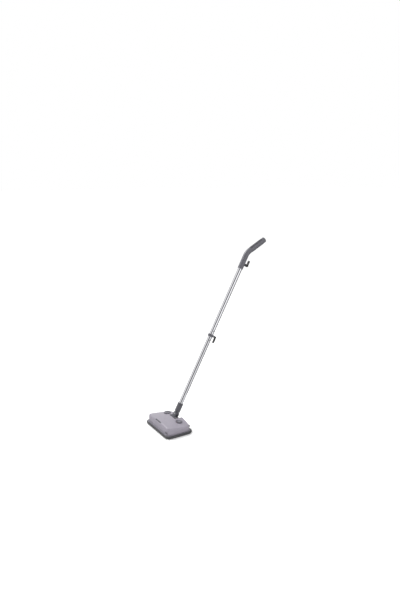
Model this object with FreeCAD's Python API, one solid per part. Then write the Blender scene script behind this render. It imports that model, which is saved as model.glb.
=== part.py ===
# Steam mop: floor head with its boiler, swivelling neck, two-piece tube and bent handle.
# Millimetres.  The origin is on the floor under the middle of the head.  +X runs along the
# long side of the head, -Y is the front and +Z is up.  The pole is drawn upright along its
# own Z axis, with zero at the pitch axle, and is then leant back about that axle.
import FreeCAD
import Part
import math
import os

os.makedirs("parts", exist_ok=True)
V = FreeCAD.Vector
X = V(1, 0, 0)
Y = V(0, 1, 0)
Z = V(0, 0, 1)

# Fits, all radial unless they say otherwise
RUNNING = 0.08        # turning or sliding pair
LOOSE = 0.3           # parts that pass each other without guiding
SNUG = 0.05           # parts put together once
FACE = 0.05           # flat faces that slide on each other
SIDE = 0.2            # cheeks of the roll joint, each side

# Floor head
HEAD_L = 270.0
HEAD_W = 168.0
HEAD_R = 30.0
PAD_T = 5.0
PAD_IN = 4.0
STRIP_T = 1.5
SOLE_T = 4.0
SOLE_IN = 10.0
TRAY_FLOOR = 2.5
BUMPER_W = 6.5
BUMPER_H = 10.5
BUMPER_EDGE = 2.5
PAD_GAP = 0.5         # from the top of the pad up to the bumper
LEDGE_DROP = 0.8      # from the top of the bumper down to the ledge
RIB_W = 2.5
RIB_T = 1.6
RIB_UP = 6.5          # from the foot of the bumper up to the rib
COVER_IN = 12.0
COVER_T = 2.5
COVER_FILLET = 9.0
FRONT_Z = 63.0        # top of the cover at the middle of the front
FRONT_END_Z = 59.0    # and at its two ends
BACK_Z = 62.5
BACK_END_Z = 32.0
LIP_W = 2.0
LIP_H = 5.0
BADGE_L = 60.0
BADGE_W = 6.5
BADGE_X = 4.0
BADGE_BACK = 1.5
BADGE_T = 0.8

SOLE_Z0 = PAD_T + STRIP_T
TRAY_Z0 = SOLE_Z0 + SOLE_T
FLOOR_Z = TRAY_Z0 + TRAY_FLOOR
BUMPER_Z0 = PAD_T + PAD_GAP
BUMPER_Z1 = BUMPER_Z0 + BUMPER_H
LEDGE_Z = BUMPER_Z1 - LEDGE_DROP
LIP_IN = COVER_IN + COVER_T + 0.2
WALL_X = HEAD_L / 2 - COVER_IN
WALL_Y = HEAD_W / 2 - COVER_IN

# Screws that hold the head together
SCREW_R = 1.4
SCREW_HEAD_R = 2.8
SOLE_SCREW_IN = 23.0
SOLE_SCREW_Y = 40.0
HOUSING_SCREW_X_IN = 27.0
HOUSING_SCREW_Y_IN = 32.0
HOUSING_POST_R = 4.0

# Round fittings at the back of the cover
FITTING_X = 68.0
FITTING_Y = 28.0
KNOB_R = 19.0
KNOB_H = 7.5
RECESS_R = KNOB_R + 0.5
BOSS_R = RECESS_R + 2.5
SEAT_Z = 55.0
BORE_R = 12.0
NECK_WALL = 3.0
NECK_FOOT = 1.5       # how far the foot of the neck stands out in the boiler lid
SEAL_W = 2.0
GASKET_T = 1.5
CAP_LIFT = 12.0
BUTTON_R = 13.0
BUTTON_WALL = 2.0
BUTTON_TOP = 60.5
BUTTON_TOP_T = 2.5
BUTTON_TRAVEL = 3.0
BEZEL_H = 3.5
LENS_R = 1.6
PLUNGER_R = 3.2
SWITCH_W = 20.0
SWITCH_Z0 = 25.0
SWITCH_Z1 = 44.0

# Cord inlet in the back wall
GLAND_X = HEAD_L / 2 - 45.0
GLAND_Z = 28.0
GLAND_R = 6.0
GLAND_BORE = 3.75
GLAND_Y0 = WALL_Y - 14.0
GLAND_Y1 = WALL_Y + 10.0
NUT_R = 7.4
NUT_T = 3.0
FLANGE_R = 8.0
FLANGE_T = 3.0

# Boiler
BOILER_X0 = -96.0
BOILER_X1 = 60.0
BOILER_Y0 = -54.0
BOILER_Y1 = 16.0
BOILER_H = 23.0
BOILER_GAP = 2.0
BOILER_Z0 = FLOOR_Z + BOILER_GAP
BOILER_Z1 = BOILER_Z0 + BOILER_H
BOILER_T = 4.0
BOILER_R = 8.0
LOBE_R = BORE_R + NECK_FOOT + BOILER_T + 2.5
SEAL_T = 1.0
LID_SCREW_R = 1.5
LID_SCREW_IN = 5.0
LID_POST_R = 4.5
LID_T = 4.0
LID_Z0 = BOILER_Z1 + SEAL_T
LID_Z1 = LID_Z0 + LID_T
HEATER_R = 4.0
HEATER_Z = BOILER_Z0 + 10.0
HEATER_Y = -20.0
HEATER_BEND = 16.0
HEATER_PIN_R = 1.5
HEATER_PIN_L = 7.0
HEATER_OUT = 8.0
SPIGOT_R = 2.5
HOSE_R = SPIGOT_R + 1.5
HOSE_TURN = 12.0
STEAM_R = 1.2
WIRE_R = 1.1
PIPE_X = BOILER_X1 + 24.0
PIPE_Y = -30.0
VALVE_X = BOILER_X1 - 20.0

# Neck pocket, pitch axle and yoke
PIVOT_Y = 36.0
PIVOT_Z = 52.0
LEAN = 28.4556
POCKET_X = 33.0
POCKET_Y0 = 21.0
POCKET_Z = 38.5
BARREL_R = 12.0
BARREL_X = 25.0
AXLE_R = 4.0
AXLE_X = POCKET_X - 1.0
WASHER_T = 0.9
WASHER_GAP = 0.1
BLOCK_X0 = BARREL_X + WASHER_GAP + WASHER_T
BLOCK_R = AXLE_R + 3.5
WASHER_R = AXLE_R + 4.0
BLOCK_FOOT = 5.0
BEARING_SCREW_R = 1.25
ROLL_U = 24.5
CHEEK_N0 = 6.2
CHEEK_N1 = 11.2
CHEEK_R = 14.0
TONGUE_R = ROLL_U - BARREL_R - 1.5
PIN_R = 3.0
PIN_HEAD_R = PIN_R + 1.8
PIN_HEAD_T = 1.5

# Pole, measured along its own axis from the pitch axle
TUBE_R = 12.5
TUBE_T = 1.0
SLEEVE_R = TUBE_R + 3.5
SLEEVE_U0 = ROLL_U + CHEEK_R + 1.5
SLEEVE_U1 = 92.0
TUBE_U0 = SLEEVE_U0 + 7.0
JOINT_U = 512.5
COLLAR_R = TUBE_R + 3.5
COLLAR_H = 16.0
JOINER_T = 2.4
JOINER_HALF = 42.0
SNAP_OFFSET = 28.0
SNAP_R = 3.4
SNAP_OUT = 2.4
SNAP_TRAVEL = 3.0
SNAP_FLANGE_R = SNAP_R + 1.2
SNAP_FLANGE_T = 1.4
SNAP_BACK = TUBE_R - 7.5
LEAF_T = 0.7
LEAF_W = 5.0
PLUG_L = 30.0
PLUG_SCREW_R = 1.5
PLUG_HEAD_R = 3.3
PLUG_SCREW_UP = 16.0
HANDLE_R = TUBE_R + 3.0
HANDLE_U0 = 926.0
CORNER_U = 1025.6
BEND = 33.0
BEND_R = 70.0
GRIP_L = 131.4
INLAY_T = 1.5
HOOK_U = 958.0
HOOK_T = 8.0
HOOK_N = HANDLE_R + 21.5
HOOK_L = 32.0
HOOK_W = 11.0
HOOK_HUB_R = 7.5
HOOK_ROUND = 7.0
LOWER_HOOK_N = TUBE_R + 23.0
LOWER_HOOK_L = 36.0
LOWER_HOOK_W = 10.0
LOWER_HOOK_ROUND = 9.0
FOOT_W = 19.0
FOOT_H = 12.0
FOOT_T = 3.0
FOOT_SCREW_X = LOWER_HOOK_W / 2 + 2.1
FOOT_HEAD_R = 1.8
FOOT_SCREW_R = 1.0
PIVOT_R = 2.5
TUBE_U1 = HOOK_U + PLUG_L / 2


def tidy(shape):
    return shape.removeSplitter()


def save(name, shape):
    """Write one piece, or one group of equal pieces, to its own file."""
    if not shape.isValid():
        raise ValueError(name + " is not a valid solid")
    if not shape.Solids:
        raise ValueError(name + " holds no solid")
    shape.exportStep("parts/" + name + ".step")


def group(shapes):
    return Part.makeCompound(shapes)


def fuse(shapes):
    whole = shapes[0].multiFuse(shapes[1:])
    return tidy(whole)


def box(x0, x1, y0, y1, z0, z1):
    return Part.makeBox(x1 - x0, y1 - y0, z1 - z0, V(x0, y0, z0))


def post(r, x, y, z0, z1):
    return Part.makeCylinder(r, z1 - z0, V(x, y, z0), Z)


def bar_x(r, x0, x1, y, z):
    return Part.makeCylinder(r, x1 - x0, V(x0, y, z), X)


def bar_y(r, x, y0, y1, z):
    return Part.makeCylinder(r, y1 - y0, V(x, y0, z), Y)


def ring(r_out, r_in, x, y, z0, z1):
    return post(r_out, x, y, z0, z1).cut(post(r_in, x, y, z0 - 1, z1 + 1))


def plate(length, width, radius, z0, z1, x=0.0, y=0.0):
    """Rectangle with round corners, centred on x, y, between two heights."""
    block = box(x - length / 2, x + length / 2, y - width / 2, y + width / 2, z0, z1)
    upright = [e for e in block.Edges if abs(e.tangentAt(e.FirstParameter).z) > 0.9]
    return block.makeFillet(radius, upright)


def outline(inset, z0, z1):
    """The plan of the head, drawn in by the given amount."""
    return plate(HEAD_L - 2 * inset, HEAD_W - 2 * inset, HEAD_R - inset / 2, z0, z1)


def crown(drop):
    """Solid below the top of the cover: flat at the front, arched at the back."""
    half = HEAD_L / 2
    sections = []
    for y, middle, end in ((-HEAD_W / 2, FRONT_Z, FRONT_END_Z), (HEAD_W / 2, BACK_Z, BACK_END_Z)):
        left = V(-half, y, end - drop)
        right = V(half, y, end - drop)
        arc = Part.Arc(left, V(0, y, middle - drop), right).toShape()
        sides = Part.makePolygon([right, V(half, y, 0), V(-half, y, 0), left])
        sections.append(Part.Wire([arc] + sides.Edges))
    return Part.makeLoft(sections, True, True)


def pillow(inset, drop, z0, fillet):
    block = outline(inset, z0, FRONT_Z + 30)
    body = block.common(crown(drop))
    rim = [e for e in body.Edges if e.BoundBox.ZMin > z0 + 5]
    return body.makeFillet(fillet, rim)


def pole(shape):
    """Lean a pole piece back and put its zero on the pitch axle."""
    placed = shape.copy()
    placed.Placement = FreeCAD.Placement(
        V(0, PIVOT_Y, PIVOT_Z), FreeCAD.Rotation(X, -LEAN)
    ).multiply(placed.Placement)
    return placed


def screw_down(x, y, head_z, head_r, head_h, shank_r, length):
    """Screw whose head sits on head_z and whose shank runs down from it."""
    head = post(head_r, x, y, head_z, head_z + head_h)
    shank = post(shank_r, x, y, head_z - length, head_z)
    slot = box(x - head_r, x + head_r, y - 0.4, y + 0.4, head_z + head_h * 0.6, head_z + head_h + 1)
    return tidy(head.fuse(shank).cut(slot))


def screw_up(x, y, head_z, head_r, head_h, shank_r, length):
    """Screw put in from below, its head between head_z and head_z + head_h."""
    head = post(head_r, x, y, head_z, head_z + head_h)
    shank = post(shank_r, x, y, head_z + head_h, head_z + head_h + length)
    slot = box(x - head_r, x + head_r, y - 0.4, y + 0.4, head_z - 1, head_z + head_h * 0.4)
    return tidy(head.fuse(shank).cut(slot))


def coil(wire_r, coil_r, z0, z1, turns, x=0.0, y=0.0):
    """Compression spring between two heights."""
    height = z1 - z0 - 2 * wire_r
    helix = Part.makeHelix(height / turns, height, coil_r)
    start = V(coil_r, 0, 0)
    profile = Part.Wire(Part.makeCircle(wire_r, start, Y))
    spring = Part.Wire(helix.Edges).makePipeShell([profile], True, True)
    spring.translate(V(x, y, z0 + wire_r))
    return spring


def lead(points, r):
    """Insulated wire through the given points, rounded at every turn."""
    pieces = []
    for a, b in zip(points[:-1], points[1:]):
        pieces.append(Part.makeCylinder(r, (b - a).Length, a, b - a))
    for p in points[1:-1]:
        pieces.append(Part.makeSphere(r, p))
    return fuse(pieces)


# ---------------------------------------------------------------- floor head, from below

# Washable pad, held to the sole by the hook strips
pad = outline(PAD_IN, 0, PAD_T)
pad_rim = [e for e in pad.Edges if e.BoundBox.ZMax > PAD_T - 0.1 and e.BoundBox.ZMin > PAD_T - 0.1]
save("cleaning_pad", pad.makeFillet(1.5, pad_rim))

STRIP_X = [-95.0, -30.0, 30.0, 95.0]
STRIP_L = HEAD_W - 50.0
strips = [plate(26, STRIP_L, 4, PAD_T, SOLE_Z0, x, 0) for x in STRIP_X]
save("hook_strips", group(strips))

# Sole with the steam channels in its upper face
CHANNEL_X = [-62.5, 0.0, 62.5]
CHANNEL_W = 5.0
CHANNEL_D = 1.5
CHANNEL_Y = HEAD_W / 2 - 26.0
HOLE_PITCH = 13.0
HOLE_R = 1.5
SOLE_SCREW_HEAD_R = 3.0
SOLE_SCREW_HEAD_H = 2.0
sole_screw_x = HEAD_L / 2 - SOLE_SCREW_IN
sole_screw_mid = HEAD_W / 2 - 20.0
SOLE_SCREWS = [(x, y) for x in (-sole_screw_x, sole_screw_x) for y in (-SOLE_SCREW_Y, SOLE_SCREW_Y)]
SOLE_SCREWS += [(-12.0, -sole_screw_mid), (12.0, sole_screw_mid)]
sole = outline(SOLE_IN, SOLE_Z0, TRAY_Z0)
cuts = [box(CHANNEL_X[0] - CHANNEL_W / 2, PIPE_X + CHANNEL_W / 2, PIPE_Y - CHANNEL_W / 2,
            PIPE_Y + CHANNEL_W / 2, TRAY_Z0 - CHANNEL_D, TRAY_Z0 + 1)]
for x in CHANNEL_X:
    cuts.append(box(x - CHANNEL_W / 2, x + CHANNEL_W / 2, -CHANNEL_Y, CHANNEL_Y,
                    TRAY_Z0 - CHANNEL_D, TRAY_Z0 + 1))
    for i in range(-4, 5):
        cuts.append(post(HOLE_R, x, HOLE_PITCH * i, SOLE_Z0 - 1, TRAY_Z0))
for x, y in SOLE_SCREWS:
    cuts.append(post(SCREW_R + LOOSE, x, y, SOLE_Z0 - 1, TRAY_Z0 + 1))
    cuts.append(post(SOLE_SCREW_HEAD_R + 0.2, x, y, SOLE_Z0 - 1, SOLE_Z0 + SOLE_SCREW_HEAD_H))
sole = tidy(sole.cut(cuts))
save("sole_plate", sole)
sole_bolts = [screw_up(x, y, SOLE_Z0, SOLE_SCREW_HEAD_R, SOLE_SCREW_HEAD_H, SCREW_R, 5.5)
              for x, y in SOLE_SCREWS]
save("sole_screws", group(sole_bolts))

# Lower housing: floor, side wall, ledge, locating lip and the rib that holds the bumper
RIB_Z0 = BUMPER_Z0 + RIB_UP
RIB_Z1 = RIB_Z0 + RIB_T
SCREW_HEAD_H = 1.6
housing_x = HEAD_L / 2 - HOUSING_SCREW_X_IN
housing_y = HEAD_W / 2 - HOUSING_SCREW_Y_IN
HOUSING_SCREWS = [(x, y) for x in (-housing_x, housing_x) for y in (-housing_y, housing_y)]
BOILER_FOOT_IN = 12.0
feet_x = (BOILER_X0 + BOILER_FOOT_IN, BOILER_X1 - BOILER_FOOT_IN)
feet_y = (BOILER_Y0 + BOILER_FOOT_IN, BOILER_Y1 - BOILER_FOOT_IN)
BOILER_FEET = [(x, y) for x in feet_x for y in feet_y]
tray = outline(BUMPER_W, TRAY_Z0, LEDGE_Z)
tray = tray.cut(outline(LIP_IN + LIP_W, FLOOR_Z, LEDGE_Z + 1))
lip = outline(LIP_IN, LEDGE_Z - 1, LEDGE_Z + LIP_H)
lip = lip.cut(outline(LIP_IN + LIP_W, LEDGE_Z - 2, LEDGE_Z + LIP_H + 1))
rib = outline(BUMPER_W - RIB_W, RIB_Z0, RIB_Z1).cut(outline(BUMPER_W + 1, RIB_Z0 - 1, RIB_Z1 + 1))
tray_adds = [lip, rib]
for x, y in BOILER_FEET:
    tray_adds.append(post(6, x, y, FLOOR_Z - 0.5, BOILER_Z0))
for x, y in SOLE_SCREWS:
    tray_adds.append(post(SCREW_R + 2.2, x, y, FLOOR_Z - 0.5, FLOOR_Z + 3.5))
stand_half = SWITCH_W / 2
switch_stand = box(FITTING_X - stand_half, FITTING_X + stand_half, FITTING_Y - stand_half,
                   FITTING_Y + stand_half, FLOOR_Z - 0.5, SWITCH_Z0)
stand_in = stand_half - 2
switch_stand = switch_stand.cut(box(FITTING_X - stand_in, FITTING_X + stand_in, FITTING_Y - stand_in,
                                    FITTING_Y + stand_in, FLOOR_Z, SWITCH_Z0 - 2))
tray_adds.append(switch_stand)
tray = tray.multiFuse(tray_adds)
tray_cuts = [post(SPIGOT_R, PIPE_X, PIPE_Y, TRAY_Z0 - 1, FLOOR_Z + 1)]
for x, y in SOLE_SCREWS:
    tray_cuts.append(post(SCREW_R + SNUG, x, y, TRAY_Z0 - 1, FLOOR_Z + 3))
for x, y in HOUSING_SCREWS:
    tray_cuts.append(post(SCREW_HEAD_R + 0.2, x, y, TRAY_Z0 - 1, TRAY_Z0 + SCREW_HEAD_H))
    tray_cuts.append(post(SCREW_R + SNUG, x, y, TRAY_Z0 - 1, FLOOR_Z + 1))
tray_cuts.append(bar_y(FLANGE_R + LOOSE, GLAND_X, GLAND_Y0, WALL_Y - COVER_T, GLAND_Z))
tray = tidy(tray.cut(tray_cuts))
save("lower_tray", tray)
housing_bolts = [screw_up(x, y, TRAY_Z0, SCREW_HEAD_R, SCREW_HEAD_H, SCREW_R, 11.0)
                 for x, y in HOUSING_SCREWS]
save("housing_screws", group(housing_bolts))

# Rubber bumper pressed on round the lower housing
bumper = outline(0, BUMPER_Z0, BUMPER_Z1)
outer_rims = [e for e in bumper.Edges if abs(e.BoundBox.ZMax - e.BoundBox.ZMin) < 0.01]
bumper = bumper.makeFillet(BUMPER_EDGE, outer_rims)
bumper = bumper.cut(outline(BUMPER_W, BUMPER_Z0 - 1, BUMPER_Z1 + 1))
bumper = tidy(bumper.cut(outline(BUMPER_W - RIB_W, RIB_Z0, RIB_Z1)))
save("bumper_strip", bumper)

# ---------------------------------------------------------------- cover and what sits in it

BEARING_X = (BLOCK_X0 + POCKET_X) / 2
BEARING_SCREWS = [(sx * BEARING_X, y) for sx in (-1, 1)
                  for y in (PIVOT_Y - BLOCK_R - 3, PIVOT_Y + BLOCK_R + 4)]
LID_HOLE_R = BORE_R + NECK_WALL + SEAL_W
outside = pillow(COVER_IN, 0, LEDGE_Z, COVER_FILLET)
inside = pillow(COVER_IN + COVER_T, COVER_T, LEDGE_Z - 1, COVER_FILLET - COVER_T)
cover = outside.cut(inside)
adds = []
for sx in (-1, 1):
    seat = post(BOSS_R, sx * FITTING_X, FITTING_Y, SEAT_Z - COVER_T, SEAT_Z)
    collar = post(BOSS_R, sx * FITTING_X, FITTING_Y, SEAT_Z - COVER_T, SEAT_Z + 8).common(outside)
    adds += [seat, collar]
pocket = box(-POCKET_X - COVER_T, POCKET_X + COVER_T, POCKET_Y0 - COVER_T, WALL_Y,
             POCKET_Z - COVER_T, 90).common(outside)
adds.append(pocket)
for x, y in BEARING_SCREWS:
    adds.append(post(BEARING_SCREW_R + 2, x, y, POCKET_Z - 9, POCKET_Z - 1))
for x, y in HOUSING_SCREWS:
    column = post(HOUSING_POST_R, x, y, FLOOR_Z, FRONT_Z)
    adds.append(column.common(outside.fuse(post(HOUSING_POST_R, x, y, FLOOR_Z, LEDGE_Z))))
cover = cover.multiFuse(adds)
cuts = [box(-POCKET_X, POCKET_X, POCKET_Y0, WALL_Y + 50, POCKET_Z, 120)]
for sx in (-1, 1):
    cuts.append(post(RECESS_R, sx * FITTING_X, FITTING_Y, SEAT_Z, 120))
cuts.append(post(LID_HOLE_R, -FITTING_X, FITTING_Y, SEAT_Z - 10, SEAT_Z + 1))
cuts.append(post(BUTTON_R + LOOSE + 0.2, FITTING_X, FITTING_Y, SEAT_Z - 10, SEAT_Z + 1))
for x, y in BEARING_SCREWS:
    cuts.append(post(BEARING_SCREW_R + SNUG, x, y, POCKET_Z - 8, POCKET_Z + 1))
for x, y in HOUSING_SCREWS:
    cuts.append(post(SCREW_R + SNUG, x, y, FLOOR_Z - 1, FLOOR_Z + 12))
cuts.append(bar_y(GLAND_R + SNUG, GLAND_X, GLAND_Y0, GLAND_Y1, GLAND_Z))
badge_y = BADGE_BACK - WALL_Y
badge_block = box(BADGE_X - BADGE_L / 2, BADGE_X + BADGE_L / 2, badge_y, badge_y + BADGE_W, LEDGE_Z + 20, 90)
badge_block = badge_block.cut(pillow(COVER_IN + BADGE_T, BADGE_T, LEDGE_Z, COVER_FILLET - BADGE_T))
cuts.append(badge_block)
cover = tidy(cover.cut(cuts))
save("top_cover", cover)

# Blank badge let into the rounded front edge of the cover
badge = badge_block.common(outside)
save("badge_plate", badge)

# Cord inlet at the back; the cord itself is not part of this piece
gland = bar_y(GLAND_R, GLAND_X, GLAND_Y0, GLAND_Y1, GLAND_Z)
gland = gland.fuse(bar_y(FLANGE_R, GLAND_X, WALL_Y, WALL_Y + FLANGE_T, GLAND_Z))
gland = gland.fuse(bar_y(NUT_R, GLAND_X, WALL_Y - COVER_T - NUT_T, WALL_Y - COVER_T, GLAND_Z))
gland = tidy(gland.cut(bar_y(GLAND_BORE, GLAND_X, GLAND_Y0 - 1, GLAND_Y1 + 1, GLAND_Z)))
save("cord_gland", gland)

# Round switch on the right
bezel = ring(KNOB_R, BUTTON_R + LOOSE, FITTING_X, FITTING_Y, SEAT_Z, SEAT_Z + BEZEL_H)
bezel_rim = [e for e in bezel.Edges if e.BoundBox.ZMin > SEAT_Z + BEZEL_H - 0.1]
bezel = bezel.makeFillet(1.0, [e for e in bezel_rim if e.BoundBox.XLength > BUTTON_R + KNOB_R])
lens_y = FITTING_Y - (BUTTON_R + KNOB_R) / 2
lens_z = SEAT_Z + 1.0
bezel = tidy(bezel.cut(post(LENS_R, FITTING_X, lens_y, lens_z, SEAT_Z + BEZEL_H + 1)))
save("switch_bezel", bezel)
lens = post(LENS_R, FITTING_X, lens_y, lens_z, SEAT_Z + BEZEL_H + 0.2)
save("indicator_lens", lens)
DISH_R = 90.0
DISH_D = 0.8
plunger_z = SWITCH_Z1 + 0.2 + BUTTON_TRAVEL - 2.9
button = post(BUTTON_R, FITTING_X, FITTING_Y, SEAT_Z - 3, BUTTON_TOP)
button_in = BUTTON_R - BUTTON_WALL
spring_top = BUTTON_TOP - BUTTON_TOP_T
button = button.cut(post(button_in, FITTING_X, FITTING_Y, SEAT_Z - 4, spring_top))
button = button.cut(Part.makeSphere(DISH_R, V(FITTING_X, FITTING_Y, BUTTON_TOP + DISH_R - DISH_D)))
button = button.fuse(post(PLUNGER_R, FITTING_X, FITTING_Y, plunger_z, BUTTON_TOP - 1))
save("button_cap", tidy(button))
TAB_W = 4.8
TAB_T = 0.8
TAB_L = 6.0
TAB_X = 5.0
TAB_Z0 = SWITCH_Z0 + 4.0
switch = box(FITTING_X - stand_half, FITTING_X + stand_half, FITTING_Y - stand_half,
             FITTING_Y + stand_half, SWITCH_Z0, SWITCH_Z1)
switch = switch.cut(post(PLUNGER_R + LOOSE, FITTING_X, FITTING_Y, SWITCH_Z1 - 5, SWITCH_Z1 + 1))
for dx in (-TAB_X, TAB_X):
    switch = switch.fuse(box(FITTING_X + dx - TAB_W / 2, FITTING_X + dx + TAB_W / 2,
                             FITTING_Y - stand_half - TAB_L, FITTING_Y - stand_half, TAB_Z0, TAB_Z0 + TAB_T))
save("switch_body", tidy(switch))
SPRING_WIRE = 0.5
SPRING_COIL = 6.0
save("button_spring", coil(SPRING_WIRE, SPRING_COIL, SWITCH_Z1, spring_top, 4, FITTING_X, FITTING_Y))

# ---------------------------------------------------------------- boiler


def boiler_plan(inset, z0, z1):
    cx = (BOILER_X0 + BOILER_X1) / 2
    cy = (BOILER_Y0 + BOILER_Y1) / 2
    length = BOILER_X1 - BOILER_X0 - 2 * inset
    width = BOILER_Y1 - BOILER_Y0 - 2 * inset
    main = plate(length, width, BOILER_R - inset / 2, z0, z1, cx, cy)
    lobe_w = 2 * (LOBE_R - inset)
    lobe = plate(lobe_w, lobe_w + 10, LOBE_R - inset - 2, z0, z1, -FITTING_X, FITTING_Y - 5)
    return tidy(main.fuse(lobe))


boiler_mid = (BOILER_X0 + BOILER_X1) / 2
near_x0 = BOILER_X0 + LID_SCREW_IN
near_x1 = BOILER_X1 - LID_SCREW_IN
near_y0 = BOILER_Y0 + LID_SCREW_IN
near_y1 = BOILER_Y1 - LID_SCREW_IN
LID_SCREWS = [(near_x0, near_y0), (boiler_mid, near_y0 - 1.5), (near_x1, near_y0),
              (near_x1, near_y1), (boiler_mid, near_y1 + 1.5), (near_x0, near_y1 - 5.0)]
boiler_wall = boiler_plan(0, BOILER_Z0, BOILER_Z1)
boiler_wall = boiler_wall.cut(boiler_plan(BOILER_T, BOILER_Z0 + BOILER_T, BOILER_Z1 + 1))
boiler_adds = [post(LID_POST_R, x, y, BOILER_Z0 + 1, BOILER_Z1).common(boiler_plan(0, BOILER_Z0, BOILER_Z1))
               for x, y in LID_SCREWS]
boiler_wall = boiler_wall.multiFuse(boiler_adds)
boiler_cuts = [post(LID_SCREW_R, x, y, BOILER_Z1 - 12, BOILER_Z1 + 1) for x, y in LID_SCREWS]
for sy in (-1, 1):
    boiler_cuts.append(bar_x(HEATER_R + SNUG, BOILER_X1 - BOILER_T - 6, BOILER_X1 + 1,
                             HEATER_Y + sy * HEATER_BEND, HEATER_Z))
boiler_base = tidy(boiler_wall.cut(boiler_cuts))
save("boiler_base", boiler_base)

seal = boiler_plan(0, BOILER_Z1, LID_Z0).cut(boiler_plan(BOILER_T, BOILER_Z1 - 1, LID_Z0 + 1))
seal = seal.multiFuse([post(LID_POST_R, x, y, BOILER_Z1, LID_Z0).common(boiler_plan(0, BOILER_Z1, LID_Z0))
                       for x, y in LID_SCREWS])
seal = seal.cut([post(LID_SCREW_R + SNUG, x, y, BOILER_Z1 - 1, LID_Z0 + 1) for x, y in LID_SCREWS])
save("boiler_gasket", tidy(seal))

lid = boiler_plan(0, LID_Z0, LID_Z1)
lid_cuts = [post(LID_SCREW_R + SNUG, x, y, LID_Z0 - 1, LID_Z1 + 1) for x, y in LID_SCREWS]
lid_cuts.append(post(BORE_R + NECK_FOOT, -FITTING_X, FITTING_Y, LID_Z0 - 1, LID_Z1 + 1))
lid_cuts.append(post(4.0, VALVE_X, PIPE_Y, LID_Z0 - 1, LID_Z1 + 1))
lid = lid.cut(lid_cuts)
FUSE_X = -53.0
FUSE_Y = -18.0
FUSE_R = 2.0
FUSE_Z = LID_Z1 + FUSE_R + 0.6
saddle = box(FUSE_X - 2, FUSE_X + 2, FUSE_Y - 4, FUSE_Y + 4, LID_Z1 - 0.5, FUSE_Z + FUSE_R + 1.2)
saddle = saddle.cut(bar_x(FUSE_R, FUSE_X - 5, FUSE_X + 5, FUSE_Y, FUSE_Z))
lid = tidy(lid.fuse(saddle))
save("boiler_lid", lid)
lid_bolts = [screw_down(x, y, LID_Z1, SCREW_HEAD_R, 2.0, LID_SCREW_R, 14.0) for x, y in LID_SCREWS]
save("boiler_screws", group(lid_bolts))

heater_x0 = -60.0
heater_x1 = BOILER_X1 + HEATER_OUT
heater = [bar_x(HEATER_R, heater_x0, heater_x1, HEATER_Y + sy * HEATER_BEND, HEATER_Z) for sy in (-1, 1)]
bend_ring = Part.makeCircle(HEATER_R, V(heater_x0, HEATER_Y - HEATER_BEND, HEATER_Z), X)
bend_face = Part.Face(Part.Wire(bend_ring))
heater.append(bend_face.revolve(V(heater_x0, HEATER_Y, HEATER_Z), Z, -180))
for sy in (-1, 1):
    leg_y = HEATER_Y + sy * HEATER_BEND
    heater.append(bar_x(HEATER_PIN_R, heater_x1 - 1, heater_x1 + HEATER_PIN_L, leg_y, HEATER_Z))
save("heating_element", fuse(heater))

filler = ring(BORE_R + NECK_WALL, BORE_R, -FITTING_X, FITTING_Y, LID_Z1, SEAT_Z)
filler = filler.fuse(ring(BORE_R + NECK_FOOT, BORE_R, -FITTING_X, FITTING_Y, LID_Z0, LID_Z1 + 0.5))
filler = filler.cut(post(BORE_R, -FITTING_X, FITTING_Y, LID_Z0 - 1, SEAT_Z + 1))
save("filler_neck", tidy(filler))
neck_seal = ring(LID_HOLE_R, BORE_R + NECK_WALL, -FITTING_X, FITTING_Y, SEAT_Z - COVER_T, SEAT_Z)
save("filler_neck_seal", neck_seal)

for_thermostats = []
for x in (-20.0, 6.0):
    disc = post(8.0, x, -18.0, LID_Z1, LID_Z1 + 4)
    disc = disc.fuse(post(6.0, x, -18.0, LID_Z1 + 4, LID_Z1 + 8))
    for dx in (-3.5, 3.5):
        disc = disc.fuse(box(x + dx - 1.2, x + dx + 1.2, -18.4, -17.6, LID_Z1 + 7.5, LID_Z1 + 13))
    for_thermostats.append(tidy(disc))
save("thermostats", group(for_thermostats))
fuse_body = bar_x(FUSE_R, FUSE_X - 7, FUSE_X + 7, FUSE_Y, FUSE_Z)
fuse_body = fuse_body.fuse(bar_x(0.6, FUSE_X - 11, FUSE_X + 11, FUSE_Y, FUSE_Z))
save("thermal_fuse", tidy(fuse_body))

# Outlet valve on the lid, hose over to the right and manifold feeding the sole
hose_z = LID_Z1 + HOSE_R + 0.6
manifold_top = FLOOR_Z + 7
valve = post(7.0, VALVE_X, PIPE_Y, LID_Z1, LID_Z1 + 7.5)
valve = valve.fuse(post(4.0, VALVE_X, PIPE_Y, LID_Z0 + 0.5, LID_Z1 + 1))
valve = valve.fuse(bar_x(SPIGOT_R, VALVE_X, VALVE_X + 16, PIPE_Y, hose_z))
valve = valve.cut(post(STEAM_R, VALVE_X, PIPE_Y, LID_Z0 - 1, hose_z))
valve = valve.cut(bar_x(STEAM_R, VALVE_X, VALVE_X + 20, PIPE_Y, hose_z))
save("steam_valve", tidy(valve))

run = Part.makeLine(V(VALVE_X + 8, PIPE_Y, hose_z), V(PIPE_X - HOSE_TURN, PIPE_Y, hose_z))
mid = V(PIPE_X - HOSE_TURN + HOSE_TURN * math.sin(math.pi / 4), PIPE_Y,
        hose_z - HOSE_TURN + HOSE_TURN * math.cos(math.pi / 4))
turn = Part.Arc(V(PIPE_X - HOSE_TURN, PIPE_Y, hose_z), mid, V(PIPE_X, PIPE_Y, hose_z - HOSE_TURN)).toShape()
drop = Part.makeLine(V(PIPE_X, PIPE_Y, hose_z - HOSE_TURN), V(PIPE_X, PIPE_Y, manifold_top))
route = Part.Wire([run, turn, drop])


def pipe(radius):
    circle = Part.Wire(Part.makeCircle(radius, V(VALVE_X + 8, PIPE_Y, hose_z), X))
    return route.makePipeShell([circle], True, True)


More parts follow.
